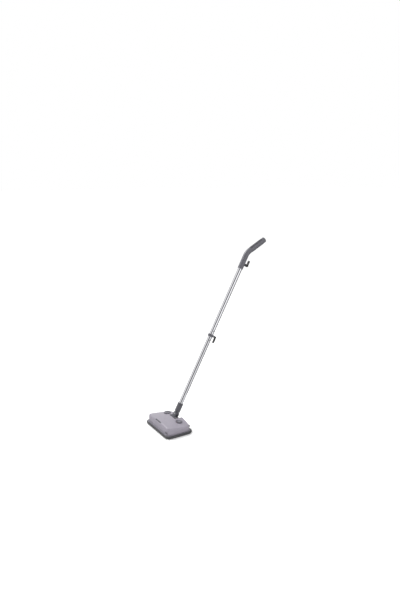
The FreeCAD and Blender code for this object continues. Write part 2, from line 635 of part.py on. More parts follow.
hose = pipe(HOSE_R).cut(pipe(SPIGOT_R))
save("steam_hose", tidy(hose))
manifold = plate(22, 30, 4, FLOOR_Z, manifold_top, PIPE_X, PIPE_Y)
manifold = manifold.fuse(post(SPIGOT_R, PIPE_X, PIPE_Y, manifold_top - 1, manifold_top + 8))
manifold = manifold.cut(plate(18, 26, 2, FLOOR_Z - 1, manifold_top - 2, PIPE_X, PIPE_Y))
manifold = manifold.cut(post(STEAM_R, PIPE_X, PIPE_Y, FLOOR_Z, manifold_top + 10))
save("steam_manifold", tidy(manifold))

# Terminal block and the wires that leave it
block = plate(24, 22, 2, FLOOR_Z, FLOOR_Z + 12, 98, 26)
for i in range(3):
    block = block.cut(post(2.2, 90 + 8 * i, 21, FLOOR_Z + 6, FLOOR_Z + 14))
save("terminal_block", tidy(block))
TERM_Z = FLOOR_Z + 7
TAB_Y = FITTING_Y - stand_half - TAB_L
TAB_Z = TAB_Z0 + TAB_T / 2
pin_end = heater_x1 + HEATER_PIN_L
heater_y0 = HEATER_Y - HEATER_BEND
heater_y1 = HEATER_Y + HEATER_BEND
stat_x = 6.0 + 3.5 + 1.2
wires = [
    lead([V(86, 20, TERM_Z), V(83, 20, TERM_Z), V(81, 12, 22), V(81, 2, 24), V(79.5, heater_y1, HEATER_Z),
          V(pin_end, heater_y1, HEATER_Z)], WIRE_R),
    lead([V(92, 15, TERM_Z), V(92, 10, TERM_Z), V(92, -8, 26), V(92, -24, 29), V(91, -33, 28.5),
          V(86, -38, 26.5), V(80, heater_y0, HEATER_Z), V(pin_end, heater_y0, HEATER_Z)], WIRE_R),
    lead([V(86, 26, TERM_Z), V(83, 26, TERM_Z), V(81, 18, 24), V(78, 9, 28), V(73, 7, TAB_Z),
          V(73, TAB_Y, TAB_Z)], WIRE_R),
    lead([V(63, TAB_Y, TAB_Z), V(63, 8, TAB_Z), V(63, 6, 34), V(63, 5, 42), V(61.5, 4, 47), V(54, 1, 49.5),
          V(36, -9, 52), V(18, -18, 53), V(stat_x, -18, 53)], WIRE_R),
]
save("wiring_loom", group(wires))

# ---------------------------------------------------------------- bearings of the neck

blocks = {}
for side, sx in (("left", -1), ("right", 1)):
    x0 = min(sx * BLOCK_X0, sx * POCKET_X)
    x1 = max(sx * BLOCK_X0, sx * POCKET_X)
    body = box(x0, x1, PIVOT_Y - BLOCK_R, PIVOT_Y + BLOCK_R, POCKET_Z, PIVOT_Z)
    body = body.fuse(bar_x(BLOCK_R, x0, x1, PIVOT_Y, PIVOT_Z))
    foot_y0 = PIVOT_Y - BLOCK_R - 6
    foot_y1 = PIVOT_Y + BLOCK_R + 8
    body = body.fuse(box(x0, x1, foot_y0, foot_y1, POCKET_Z, POCKET_Z + BLOCK_FOOT))
    body = body.cut(bar_x(AXLE_R + RUNNING, x0 - 1, x1 + 1, PIVOT_Y, PIVOT_Z))
    for x, y in BEARING_SCREWS:
        if x * sx > 0:
            body = body.cut(post(BEARING_SCREW_R + SNUG, x, y, POCKET_Z - 1, POCKET_Z + BLOCK_FOOT + 1))
    save("bearing_block_" + side, tidy(body))
bearing_bolts = [screw_down(x, y, POCKET_Z + BLOCK_FOOT, 2.2, 1.8, BEARING_SCREW_R, 11.5)
                 for x, y in BEARING_SCREWS]
save("bearing_screws", group(bearing_bolts))
washers = []
for sx in (-1, 1):
    a = sx * (BARREL_X + WASHER_GAP)
    b = sx * BLOCK_X0
    washer = bar_x(WASHER_R, min(a, b), max(a, b), PIVOT_Y, PIVOT_Z)
    washers.append(washer.cut(bar_x(AXLE_R + LOOSE, min(a, b) - 1, max(a, b) + 1, PIVOT_Y, PIVOT_Z)))
save("friction_washers", group(washers))

# ---------------------------------------------------------------- filler cap on the left

GASKET_Z1 = SEAT_Z + GASKET_T
PLUG_Z0 = SEAT_Z - CAP_LIFT
PLUG_R = BORE_R - 0.2
PLUG_BORE = PLUG_R - 3.8
SCOOPS = 18
SCOOP_R = 1.3
KNOB_DISH_R = KNOB_R - 6.0
KNOB_DISH_D = 1.2
FIN_W = 6.0
gasket = ring(BORE_R + NECK_WALL + 1, PLUG_R + LOOSE, -FITTING_X, FITTING_Y, SEAT_Z, GASKET_Z1)
save("filler_gasket", gasket)
knob_z0 = GASKET_Z1 + FACE
knob = post(KNOB_R, -FITTING_X, FITTING_Y, knob_z0, knob_z0 + KNOB_H)
knob_edges = [e for e in knob.Edges if e.BoundBox.ZMin > knob_z0 + 1 and e.BoundBox.ZLength < 0.1]
knob = knob.makeFillet(2.0, knob_edges)
scoops = []
for i in range(SCOOPS):
    a = math.radians(360.0 * i / SCOOPS)
    scoop_x = -FITTING_X + (KNOB_R + 0.5) * math.cos(a)
    scoop_y = FITTING_Y + (KNOB_R + 0.5) * math.sin(a)
    scoops.append(post(SCOOP_R, scoop_x, scoop_y, knob_z0 - 1, knob_z0 + KNOB_H + 1))
knob = knob.cut(scoops)
knob_top = knob_z0 + KNOB_H
knob = knob.cut(post(KNOB_DISH_R, -FITTING_X, FITTING_Y, knob_top - KNOB_DISH_D, knob_top + 1))
fin_half = KNOB_DISH_R + 0.5
grip = box(-FITTING_X - fin_half, -FITTING_X + fin_half, FITTING_Y - FIN_W / 2, FITTING_Y + FIN_W / 2,
           knob_z0 + KNOB_H - 2, knob_z0 + KNOB_H)
knob = knob.fuse(grip)
knob = knob.cut(post(PLUG_BORE, -FITTING_X, FITTING_Y, knob_z0 - 1, knob_z0 + 3))
save("cap_knob", tidy(knob))
cap_plug = ring(PLUG_R, PLUG_BORE, -FITTING_X, FITTING_Y, PLUG_Z0, knob_z0)
cap_plug = cap_plug.fuse(ring(PLUG_BORE + 1.0, 3.0, -FITTING_X, FITTING_Y, PLUG_Z0, PLUG_Z0 + 2))
save("cap_plug", tidy(cap_plug))
relief = post(5.5, -FITTING_X, FITTING_Y, PLUG_Z0 + 2, PLUG_Z0 + 4)
relief = relief.fuse(post(2.0, -FITTING_X, FITTING_Y, PLUG_Z0 + 3, PLUG_Z0 + 9))
save("cap_relief_valve", tidy(relief))
save("cap_valve_spring", coil(0.45, 3.8, PLUG_Z0 + 4, knob_z0 + 3, 5, -FITTING_X, FITTING_Y))

# ---------------------------------------------------------------- yoke and neck

yoke = bar_x(BARREL_R, -BARREL_X, BARREL_X, 0, 0)
yoke = yoke.fuse(bar_x(AXLE_R, -AXLE_X, AXLE_X, 0, 0))
for sn in (-1, 1):
    a = min(sn * CHEEK_N0, sn * CHEEK_N1)
    b = max(sn * CHEEK_N0, sn * CHEEK_N1)
    yoke = yoke.fuse(box(-CHEEK_R, CHEEK_R, a, b, 0, ROLL_U))
    yoke = yoke.fuse(bar_y(CHEEK_R, 0, a, b, ROLL_U))
yoke = yoke.cut(bar_y(PIN_R, 0, -30, 30, ROLL_U))
save("neck_yoke", pole(tidy(yoke)))

pin = bar_y(PIN_R, 0, -CHEEK_N1, CHEEK_N1, ROLL_U)
pin = pin.fuse(bar_y(PIN_HEAD_R, 0, CHEEK_N1, CHEEK_N1 + PIN_HEAD_T, ROLL_U))
pin = pin.fuse(bar_y(PIN_HEAD_R, 0, -CHEEK_N1 - PIN_HEAD_T, -CHEEK_N1, ROLL_U))
save("roll_pin", pole(tidy(pin)))

tongue_n = CHEEK_N0 - SIDE
sleeve = post(SLEEVE_R, 0, 0, SLEEVE_U0, SLEEVE_U1)
sleeve_top = [e for e in sleeve.Edges if e.BoundBox.ZMin > SLEEVE_U1 - 0.1]
sleeve = sleeve.makeFillet(2.0, sleeve_top)
sleeve = sleeve.fuse(box(-TONGUE_R, TONGUE_R, -tongue_n, tongue_n, ROLL_U, SLEEVE_U0 + 2))
sleeve = sleeve.fuse(bar_y(TONGUE_R, 0, -tongue_n, tongue_n, ROLL_U))
sleeve = sleeve.cut(post(TUBE_R + SNUG, 0, 0, TUBE_U0, SLEEVE_U1 + 1))
sleeve = sleeve.cut(bar_y(PIN_R + RUNNING, 0, -30, 30, ROLL_U))
PLUG_U = [TUBE_U0 + PLUG_SCREW_UP, HOOK_U]
sleeve = sleeve.cut(bar_y(PLUG_SCREW_R + SNUG, 0, 0, 30, PLUG_U[0]))
sleeve = sleeve.cut(bar_y(PLUG_HEAD_R + LOOSE, 0, SLEEVE_R - 2.2, 30, PLUG_U[0]))
save("neck_sleeve", pole(tidy(sleeve)))

# ---------------------------------------------------------------- tubes and their coupling

SNAP_U = {"lower": JOINT_U - SNAP_OFFSET, "upper": JOINT_U + SNAP_OFFSET}
SNAP_HOLE = SNAP_R + LOOSE
tube_in = TUBE_R - TUBE_T
joiner_r = tube_in - SNUG
joiner_in = joiner_r - JOINER_T

lower = ring(TUBE_R, tube_in, 0, 0, TUBE_U0, JOINT_U)
lower = lower.cut(bar_x(SNAP_HOLE, 0, 30, 0, SNAP_U["lower"]))
lower = lower.cut(bar_y(PLUG_SCREW_R + SNUG, 0, 0, 30, PLUG_U[0]))
save("lower_tube", pole(tidy(lower)))

upper = ring(TUBE_R, tube_in, 0, 0, JOINT_U, TUBE_U1)
upper = upper.cut(bar_x(SNAP_HOLE, 0, 30, 0, SNAP_U["upper"]))
upper = upper.cut(bar_y(PIVOT_R + SNUG, 0, 0, 30, HOOK_U))
save("upper_tube", pole(tidy(upper)))

joiner = ring(joiner_r, joiner_in, 0, 0, JOINT_U - JOINER_HALF, JOINT_U + JOINER_HALF)
for u in SNAP_U.values():
    joiner = joiner.cut(bar_x(SNAP_HOLE, 0, 30, 0, u))
save("tube_joiner", pole(tidy(joiner)))

for side, u in SNAP_U.items():
    snap = bar_x(SNAP_R, SNAP_BACK, TUBE_R + SNAP_OUT - 1.2, 0, u)
    dome = Part.makeSphere(SNAP_R + 1.5, V(TUBE_R + SNAP_OUT - SNAP_R - 1.5, 0, u))
    dome = dome.common(bar_x(SNAP_R, TUBE_R - 2, TUBE_R + SNAP_OUT + 1, 0, u))
    flange = bar_x(SNAP_FLANGE_R, SNAP_BACK, SNAP_BACK + SNAP_FLANGE_T, 0, u)
    save("snap_button_" + side, pole(fuse([snap, dome, flange])))
    back = -joiner_in + 0.9
    profile = [V(back, 0, u + 12), V(back, 0, u - 12), V(SNAP_BACK, 0, u - 1), V(SNAP_BACK, 0, u + 3),
               V(SNAP_BACK - LEAF_T, 0, u + 3), V(SNAP_BACK - LEAF_T, 0, u - 0.3),
               V(back + LEAF_T, 0, u - 10.7), V(back + LEAF_T, 0, u + 12)]
    leaf = Part.Face(Part.makePolygon(profile + [profile[0]])).extrude(V(0, LEAF_W, 0))
    leaf.translate(V(0, -LEAF_W / 2, 0))
    save("snap_spring_" + side, pole(leaf))

plugs = []
for u in PLUG_U:
    plug = post(joiner_r, 0, 0, u - PLUG_L / 2, u + PLUG_L / 2)
    plug = plug.cut(post(4.0, 0, 0, u - PLUG_L, u - 5)).cut(post(4.0, 0, 0, u + 5, u + PLUG_L))
    plug = plug.cut(bar_y(PLUG_SCREW_R, 0, 0, 30, u))
    plugs.append(pole(tidy(plug)))
save("tube_plugs", group(plugs))

sink_n = SLEEVE_R - 2.2
sleeve_screw = bar_y(PLUG_HEAD_R, 0, sink_n, sink_n + 2, PLUG_U[0])
sleeve_screw = sleeve_screw.fuse(bar_y(PLUG_SCREW_R, 0, 3, sink_n + 0.2, PLUG_U[0]))
sleeve_screw = sleeve_screw.cut(box(-4, 4, SLEEVE_R - 0.9, SLEEVE_R, PLUG_U[0] - 0.4, PLUG_U[0] + 0.4))
save("sleeve_screw", pole(tidy(sleeve_screw)))

# Collar over the joint with the fixed lower cord hook
collar_u0 = JOINT_U - COLLAR_H / 2
collar_u1 = JOINT_U + COLLAR_H / 2
hook_foot = COLLAR_R + 0.5
collar = post(COLLAR_R, 0, 0, collar_u0, collar_u1)
collar_rims = [e for e in collar.Edges if e.BoundBox.ZLength < 0.1]
collar = collar.makeFillet(1.5, collar_rims)
foot_u0 = JOINT_U - FOOT_H / 2
foot_u1 = JOINT_U + FOOT_H / 2
collar = collar.fuse(box(-FOOT_W / 2, FOOT_W / 2, TUBE_R - 2.5, hook_foot, foot_u0, foot_u1))
collar = collar.cut(post(TUBE_R + SNUG, 0, 0, collar_u0 - 1, collar_u1 + 1))
for sx in (-1, 1):
    collar = collar.cut(bar_y(FOOT_SCREW_R, sx * FOOT_SCREW_X, TUBE_R + 0.1, 30, JOINT_U))
save("hook_collar", pole(tidy(collar)))


def rounded(shape, n1, u0, u1, bottom, top):
    """Round the outer corners of a hook as it is seen from the side."""
    frame = box(-50, 50, -50, n1, u0, u1)
    low = [e for e in frame.Edges if e.BoundBox.YMin > n1 - 0.1 and e.BoundBox.ZMax < u0 + 0.1]
    frame = frame.makeFillet(bottom, low)
    high = [e for e in frame.Edges if e.BoundBox.YMin > n1 - 0.1 and e.BoundBox.ZMin > u1 - 0.1]
    frame = frame.makeFillet(top, high)
    return shape.common(frame)


hook_n0 = LOWER_HOOK_N - HOOK_T / 2
hook_n1 = LOWER_HOOK_N + HOOK_T / 2
arm_r = LOWER_HOOK_W / 2
low_end = JOINT_U - LOWER_HOOK_L + arm_r
hook = box(-FOOT_W / 2, FOOT_W / 2, hook_foot, hook_foot + FOOT_T, foot_u0, foot_u1)
hook = hook.fuse(box(-arm_r, arm_r, hook_foot, hook_n1, JOINT_U - arm_r, JOINT_U + arm_r))
hook = hook.fuse(box(-arm_r, arm_r, hook_n0, hook_n1, low_end, JOINT_U))
hook = hook.fuse(bar_y(arm_r, 0, hook_n0, hook_n1, low_end))
hook = rounded(hook, hook_n1, low_end - arm_r, JOINT_U + FOOT_H / 2, 3.0, LOWER_HOOK_ROUND)
for sx in (-1, 1):
    hook = hook.cut(bar_y(FOOT_SCREW_R + SNUG, sx * FOOT_SCREW_X, hook_foot - 1, hook_foot + 5, JOINT_U))
save("lower_cord_hook", pole(tidy(hook)))
collar_screws = []
for sx in (-1, 1):
    small = bar_y(FOOT_HEAD_R, sx * FOOT_SCREW_X, hook_foot + FOOT_T, hook_foot + FOOT_T + 1.4, JOINT_U)
    shank = bar_y(FOOT_SCREW_R, sx * FOOT_SCREW_X, TUBE_R + 0.7, hook_foot + FOOT_T + 0.5, JOINT_U)
    small = small.fuse(shank)
    collar_screws.append(pole(tidy(small)))
save("collar_screws", group(collar_screws))

# ---------------------------------------------------------------- handle

tangent = BEND_R * math.tan(math.radians(BEND / 2))
bend_u = CORNER_U - tangent
grip_l = GRIP_L - tangent
bend_centre = V(0, BEND_R, bend_u)


def after_bend(shape):
    """Carry a grip piece, drawn straight on from the bend, round the bend."""
    turned = shape.copy()
    turned.rotate(bend_centre, X, -BEND)
    return turned


def handle_core(radius, u0, end):
    straight = post(radius, 0, 0, u0, bend_u)
    face = Part.Face(Part.Wire(Part.makeCircle(radius, V(0, 0, bend_u), Z)))
    curve = face.revolve(bend_centre, X, -BEND)
    grip_part = after_bend(post(radius, 0, 0, bend_u, bend_u + end))
    return fuse([straight, curve, grip_part])


HANDLE_IN = TUBE_R + SNUG
INLAY_U0 = 8.0
INLAY_U1 = 98.0
INLAY_ANGLE = 84.0


def inlay(side, r_out, r_in):
    """Soft strip along the top or the underside of the grip."""
    start = -INLAY_ANGLE / 2 + (90 if side > 0 else 270)
    sector = Part.makeCylinder(r_out, INLAY_U1 - INLAY_U0, V(0, 0, bend_u + INLAY_U0), Z, INLAY_ANGLE)
    sector = sector.cut(post(r_in, 0, 0, bend_u, bend_u + 130))
    sector.rotate(V(0, 0, 0), Z, start)
    return after_bend(sector)


handle = handle_core(HANDLE_R, HANDLE_U0, grip_l)
bore = handle_core(HANDLE_IN, HANDLE_U0 - 1, grip_l + 1)
handle = handle.fuse(bar_y(HOOK_HUB_R + 1, 0, TUBE_R - 4.5, HANDLE_R + 0.5, HOOK_U))
handle = handle.cut(bore)
SCREW_SPOTS = [(0, HOOK_U + 32.0), (1, 22.0), (1, 84.0)]
BOLT_R = 1.5
BOLT_HEAD_R = 3.0
screws = []
screw_adds = []
screw_cuts = []
for past, u in SCREW_SPOTS:
    at = bend_u + u if past else u
    column = bar_x(4.0, -HANDLE_IN - 0.5, HANDLE_IN + 0.5, 0, at)
    hole = bar_x(BOLT_R, -HANDLE_R, 9, 0, at)
    sink = bar_x(BOLT_HEAD_R + 0.2, -HANDLE_R - 1, -HANDLE_R + 3.5, 0, at)
    bolt = bar_x(BOLT_HEAD_R, -HANDLE_R + 1.5, -HANDLE_R + 3.5, 0, at)
    bolt = bolt.fuse(bar_x(BOLT_R, -HANDLE_R + 3, 8, 0, at))
    if past:
        column = after_bend(column)
        hole = after_bend(hole)
        sink = after_bend(sink)
        bolt = after_bend(bolt)
    screw_adds.append(column)
    screw_cuts += [hole, sink]
    screws.append(pole(tidy(bolt)))
handle = handle.multiFuse(screw_adds)
handle = handle.cut(screw_cuts)
handle = handle.cut([inlay(s, HANDLE_R + 5, HANDLE_R - INLAY_T + 0.5) for s in (-1, 1)])
handle = handle.cut(bar_y(PIVOT_R + SNUG, 0, 0, 30, HOOK_U))
handle = tidy(handle)
left_space = box(-50, 0, -100, 200, 800, 1300)
right_space = box(0, 50, -100, 200, 800, 1300)
save("handle_left", pole(tidy(handle.common(left_space))))
save("handle_right", pole(tidy(handle.common(right_space))))
save("handle_screws", group(screws))
save("grip_inlays", group([pole(inlay(s, HANDLE_R + 0.5, HANDLE_R - INLAY_T + 0.5)) for s in (-1, 1)]))

cap_u = bend_u + grip_l
end_cap = post(HANDLE_R, 0, 0, cap_u, cap_u + 6)
cap_rim = [e for e in end_cap.Edges if e.BoundBox.ZMin > cap_u + 5]
end_cap = end_cap.makeFillet(4.0, cap_rim)
end_cap = end_cap.fuse(post(HANDLE_IN - SNUG, 0, 0, cap_u - 10, cap_u + 1))
end_cap = end_cap.cut(post(HANDLE_IN - 3, 0, 0, cap_u - 11, cap_u))
save("handle_end_cap", pole(after_bend(tidy(end_cap))))

# Upper cord hook, which swivels to let the cord drop off
hub_n = HANDLE_R + 0.5 + FACE
bar_n0 = HOOK_N - HOOK_T / 2
bar_n1 = HOOK_N + HOOK_T / 2
arm_r = HOOK_W / 2
arm_top = HOOK_U + HOOK_L - arm_r
WELL_R = 4.9
WELL_D = 7.0
swivel = bar_y(HOOK_HUB_R, 0, hub_n, bar_n1, HOOK_U)
swivel = swivel.fuse(box(-arm_r, arm_r, bar_n0, bar_n1, HOOK_U, arm_top))
swivel = swivel.fuse(bar_y(arm_r, 0, bar_n0, bar_n1, arm_top))
swivel = rounded(swivel, bar_n1, HOOK_U - HOOK_HUB_R, arm_top + arm_r, HOOK_ROUND, 3.0)
swivel = swivel.cut(bar_y(PIVOT_R + RUNNING, 0, 0, bar_n1 + 10, HOOK_U))
swivel = swivel.cut(bar_y(WELL_R, 0, hub_n + WELL_D, bar_n1 + 10, HOOK_U))
save("upper_cord_hook", pole(tidy(swivel)))
screw_n = hub_n + WELL_D + FACE
pivot = bar_y(WELL_R - 0.4, 0, screw_n, screw_n + 2.45, HOOK_U)
pivot = pivot.fuse(bar_y(PIVOT_R, 0, TUBE_R - TUBE_T, screw_n + 1, HOOK_U))
pivot = pivot.fuse(bar_y(PLUG_SCREW_R, 0, 2, TUBE_R, HOOK_U))
pivot = pivot.cut(box(-5, 5, screw_n + 1.6, screw_n + 3, HOOK_U - 0.5, HOOK_U + 0.5))
save("hook_pivot_screw", pole(tidy(pivot)))
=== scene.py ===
import math

import bmesh
import bpy
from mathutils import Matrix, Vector


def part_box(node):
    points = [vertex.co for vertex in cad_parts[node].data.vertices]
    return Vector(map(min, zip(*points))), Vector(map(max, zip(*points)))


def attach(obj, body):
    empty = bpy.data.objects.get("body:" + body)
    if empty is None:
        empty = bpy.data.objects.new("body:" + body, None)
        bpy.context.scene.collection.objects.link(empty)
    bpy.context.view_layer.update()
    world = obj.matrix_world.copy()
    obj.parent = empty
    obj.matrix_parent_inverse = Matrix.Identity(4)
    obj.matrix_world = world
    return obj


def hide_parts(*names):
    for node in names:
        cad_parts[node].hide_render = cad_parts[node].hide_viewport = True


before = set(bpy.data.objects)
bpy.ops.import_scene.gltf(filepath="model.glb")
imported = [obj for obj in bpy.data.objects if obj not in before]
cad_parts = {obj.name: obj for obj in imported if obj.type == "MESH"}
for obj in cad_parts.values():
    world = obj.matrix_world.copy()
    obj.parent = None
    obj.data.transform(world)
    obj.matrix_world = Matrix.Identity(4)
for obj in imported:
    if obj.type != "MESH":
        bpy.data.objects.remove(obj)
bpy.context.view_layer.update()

# ------------------------------------------------------------------ cleaning pad
# Washable microfibre pad, 262 by 160 mm: a flat cushion of looped pile with quilted channels,
# its rim bound with woven tape that is lock-stitched all the way round.  Hook strips on the
# sole hold it by its own backing.

HEAD_LENGTH = 0.270
HEAD_WIDTH = 0.168
HEAD_CORNER = 0.030
PAD_INSET = 0.004
PAD_HEIGHT = 0.005
PAD_CHANNELS = (-0.088, -0.044, 0.0, 0.044, 0.088)
CHANNEL_DEPTH = 0.0011
CHANNEL_WIDTH = 0.0022
PAD_VOXEL = 0.004
PAD_CAP = 0.0012
PAD_PRESSURE = 4.0
PAD_SETTLE = 20
TAPE_WIDTH = 0.0062
STITCH_STEP = 0.0042
STITCH_FILL = 0.78
STITCH_THICK = 0.0005
SEAM_EDGE = 0.0012
SEAM_HEIGHTS = (0.00012, 0.00488)


def added(name, mesh):
    """Object for a mesh whose vertices are already where the piece is."""
    piece = bpy.data.objects.new(name, mesh)
    bpy.context.scene.collection.objects.link(piece)
    return piece


def plan_loop(inset, height, turns=20, straights=14):
    """Points round the plan of the head, drawn in by the inset, at one height."""
    radius = HEAD_CORNER - inset / 2
    half_x = HEAD_LENGTH / 2 - inset - radius
    half_y = HEAD_WIDTH / 2 - inset - radius
    corners = ((half_x, half_y, 0), (-half_x, half_y, 90), (-half_x, -half_y, 180), (half_x, -half_y, 270))
    points = []
    for x, y, start in corners:
        for step in range(turns + 1):
            angle = math.radians(start + 90 * step / turns)
            points.append(Vector((x + radius * math.cos(angle), y + radius * math.sin(angle), height)))
        after = corners[(corners.index((x, y, start)) + 1) % 4]
        last = points[-1]
        angle = math.radians(after[2])
        ahead = Vector((after[0] + radius * math.cos(angle), after[1] + radius * math.sin(angle), height))
        points += [last.lerp(ahead, step / straights) for step in range(1, straights)]
    return points


def lofted(name, loops, wrapped):
    """Skin over loops of equal length; a wrapped skin joins the last loop to the first."""
    mesh = bpy.data.meshes.new(name)
    count = len(loops[0])
    faces = []
    rows = len(loops) if wrapped else len(loops) - 1
    for row in range(rows):
        low = row * count
        high = ((row + 1) % len(loops)) * count
        for i in range(count):
            j = (i + 1) % count
            faces.append((low + i, low + j, high + j, high + i))
    if not wrapped:
        faces.append(tuple(reversed(range(count))))
        faces.append(tuple(range((len(loops) - 1) * count, len(loops) * count)))
    mesh.from_pydata([tuple(p) for loop in loops for p in loop], [], faces)
    shaped = bmesh.new()
    shaped.from_mesh(mesh)
    bmesh.ops.recalc_face_normals(shaped, faces=shaped.faces)
    shaped.to_mesh(mesh)
    shaped.free()
    for face in mesh.polygons:
        face.use_smooth = True
    return added(name, mesh)


def shader_tree(name):
    """New material with an empty tree that holds one shader."""
    material = bpy.data.materials.new(name)
    material.use_nodes = True
    tree = material.node_tree
    tree.nodes.clear()
    output = tree.nodes.new("ShaderNodeOutputMaterial")
    shader = tree.nodes.new("ShaderNodeBsdfPrincipled")
    tree.links.new(shader.outputs["BSDF"], output.inputs["Surface"])
    return material, tree, shader


def place_on(tree, turn=(0, 0, 0), stretch=(1, 1, 1)):
    """Object coordinates, turned and stretched to suit the piece."""
    mapping = tree.nodes.new("ShaderNodeMapping")
    mapping.vector_type = "TEXTURE"
    mapping.inputs["Rotation"].default_value = turn
    mapping.inputs["Scale"].default_value = stretch
    tree.links.new(tree.nodes.new("ShaderNodeTexCoord").outputs["Object"], mapping.inputs["Vector"])
    return mapping.outputs["Vector"]


def noise(tree, where, scale, detail=3.0, roughness=0.5, distortion=0.0):
    """Cloudy pattern from 0 to 1."""
    node = tree.nodes.new("ShaderNodeTexNoise")
    node.inputs["Scale"].default_value = scale
    node.inputs["Detail"].default_value = detail
    node.inputs["Roughness"].default_value = roughness
    node.inputs["Distortion"].default_value = distortion
    tree.links.new(where, node.inputs["Vector"])
    return node.outputs["Fac"]


def graded(tree, value, stops):
    """Ramp through (position, grey or colour) stops."""
    node = tree.nodes.new("ShaderNodeValToRGB")
    while len(node.color_ramp.elements) < len(stops):
        node.color_ramp.elements.new(0.5)
    for element, (position, tint) in zip(node.color_ramp.elements, stops):
        element.position = position
        element.color = (*tint, 1.0) if isinstance(tint, tuple) else (tint, tint, tint, 1.0)
    tree.links.new(value, node.inputs["Fac"])
    return node.outputs["Color"]


def mixed(tree, share, first, second, kind="MIX"):
    """Two colours blended by a share; each may be a value or another node's output."""
    node = tree.nodes.new("ShaderNodeMix")
    node.data_type = "RGBA"
    node.blend_type = kind
    for socket, value in ((node.inputs[0], share), (node.inputs[6], first), (node.inputs[7], second)):
        if hasattr(value, "is_linked"):
            tree.links.new(value, socket)
        elif isinstance(value, tuple):
            socket.default_value = (*value, 1.0)
        else:
            socket.default_value = value
    return node.outputs[2]


def raised(tree, shader, height, strength, distance, under=None):
    """Bump from a height, on top of another normal if one is given."""
    node = tree.nodes.new("ShaderNodeBump")
    node.inputs["Strength"].default_value = strength
    node.inputs["Distance"].default_value = distance
    tree.links.new(height, node.inputs["Height"])
    if under is not None:
        tree.links.new(under, node.inputs["Normal"])
    tree.links.new(node.outputs["Normal"], shader.inputs["Normal"])
    return node.outputs["Normal"]


def pile_cloth(name, tint, loop_size, soiled):
    """Looped microfibre: rows of round loops with painted light on their tops and painted shade in the gaps
    between them, and dirt that gathers in patches.
    """
    material, tree, shader = shader_tree(name)
    where = place_on(tree)
    loops = tree.nodes.new("ShaderNodeTexVoronoi")
    loops.inputs["Scale"].default_value = 1 / loop_size
    loops.inputs["Randomness"].default_value = 0.55
    tree.links.new(where, loops.inputs["Vector"])
    loop_height_and_light = graded(tree, loops.outputs["Distance"], [(0.0, 1.0), (0.75, 0.0)])
    patches = noise(tree, where, 26.0, 5.0, 0.6, 0.5)
    # Painted shade darkens the gaps between the loops and painted light brightens their tops; the same
    # pattern raises the loops as bump.
    gap_shade_tone = tuple(c * 0.55 for c in tint)
    cloth = mixed(tree, loop_height_and_light, gap_shade_tone, tint)
    cloth = mixed(tree, graded(tree, patches, [(0.45, 0.0), (0.7, 0.5)]), cloth, soiled)
    tree.links.new(cloth, shader.inputs["Base Color"])
    shader.inputs["Roughness"].default_value = 0.95
    shader.inputs["Sheen Weight"].default_value = 0.35
    shader.inputs["Sheen Roughness"].default_value = 0.5
    raised(tree, shader, loop_height_and_light, 0.9, loop_size * 0.5)
    return material


def woven_tape(name, tint, thread):
    """Twill tape: two crossing sets of threads and a little fuzz."""
    material, tree, shader = shader_tree(name)
    sets = []
    for angle in (35, -55):
        where = place_on(tree, (0, 0, math.radians(angle)))
        wave = tree.nodes.new("ShaderNodeTexWave")
        wave.inputs["Scale"].default_value = 0.32 / thread
        wave.inputs["Distortion"].default_value = 0.6
        tree.links.new(where, wave.inputs["Vector"])
        sets.append(wave.outputs["Fac"])
    weave = mixed(tree, 1.0, sets[0], sets[1], "MULTIPLY")
    fuzz = noise(tree, place_on(tree), 900.0, 2.0)
    cloth = mixed(tree, weave, tuple(c * 0.6 for c in tint), tint)
    worn = graded(tree, fuzz, [(0.4, 0.0), (0.8, 0.4)])
    cloth = mixed(tree, worn, cloth, tuple(min(1, c * 1.5) for c in tint))
    tree.links.new(cloth, shader.inputs["Base Color"])
    shader.inputs["Roughness"].default_value = 0.88
    shader.inputs["Sheen Weight"].default_value = 0.2
    raised(tree, shader, weave, 0.6, thread * 0.4)
    return material


def recipe(name, sizes):
    """Node tree that turns a mesh of lines into a piece, by named sizes and a material."""
    tree = bpy.data.node_groups.new(name, "GeometryNodeTree")
    tree.interface.new_socket("Geometry", in_out="INPUT", socket_type="NodeSocketGeometry")
    for size in sizes:
        tree.interface.new_socket(size, in_out="INPUT", socket_type="NodeSocketFloat")
    tree.interface.new_socket("Material", in_out="INPUT", socket_type="NodeSocketMaterial")
    tree.interface.new_socket("Geometry", in_out="OUTPUT", socket_type="NodeSocketGeometry")
    given = tree.nodes.new("NodeGroupInput")
    return tree, given


def ended(tree, given, geometry):
    """Close a recipe: real geometry, smooth faces and the material."""
    real = tree.nodes.new("GeometryNodeRealizeInstances")
    smooth = tree.nodes.new("GeometryNodeSetShadeSmooth")
    dressed = tree.nodes.new("GeometryNodeSetMaterial")
    result = tree.nodes.new("NodeGroupOutput")
    tree.links.new(geometry, real.inputs[0])
    tree.links.new(real.outputs[0], smooth.inputs[0])
    tree.links.new(smooth.outputs[0], dressed.inputs["Geometry"])
    tree.links.new(given.outputs["Material"], dressed.inputs["Material"])
    tree.links.new(dressed.outputs[0], result.inputs[0])


def grown(name, tree, lines, closed, sizes, material):
    """Run a recipe on lines and keep the plain mesh that comes out."""
    points = []
    edges = []
    for line in lines:
        first = len(points)
        points += [tuple(p) for p in line]
        edges += [(first + i, first + i + 1) for i in range(len(line) - 1)]
        if closed:
            edges.append((first + len(line) - 1, first))
    mesh = bpy.data.meshes.new(name + "_lines")
    mesh.from_pydata(points, edges, [])
    seed = added(name + "_seed", mesh)
    modifier = seed.modifiers.new("recipe", "NODES")
    modifier.node_group = tree
    for item in tree.interface.items_tree:
        if item.in_out == "INPUT" and item.name in sizes:
            modifier[item.identifier] = sizes[item.name]
        if item.in_out == "INPUT" and item.name == "Material":
            modifier[item.identifier] = material
    seed.update_tag()
    graph = bpy.context.evaluated_depsgraph_get()
    plain = bpy.data.meshes.new_from_object(seed.evaluated_get(graph))
    plain.name = name
    bpy.data.objects.remove(seed)
    return added(name, plain)


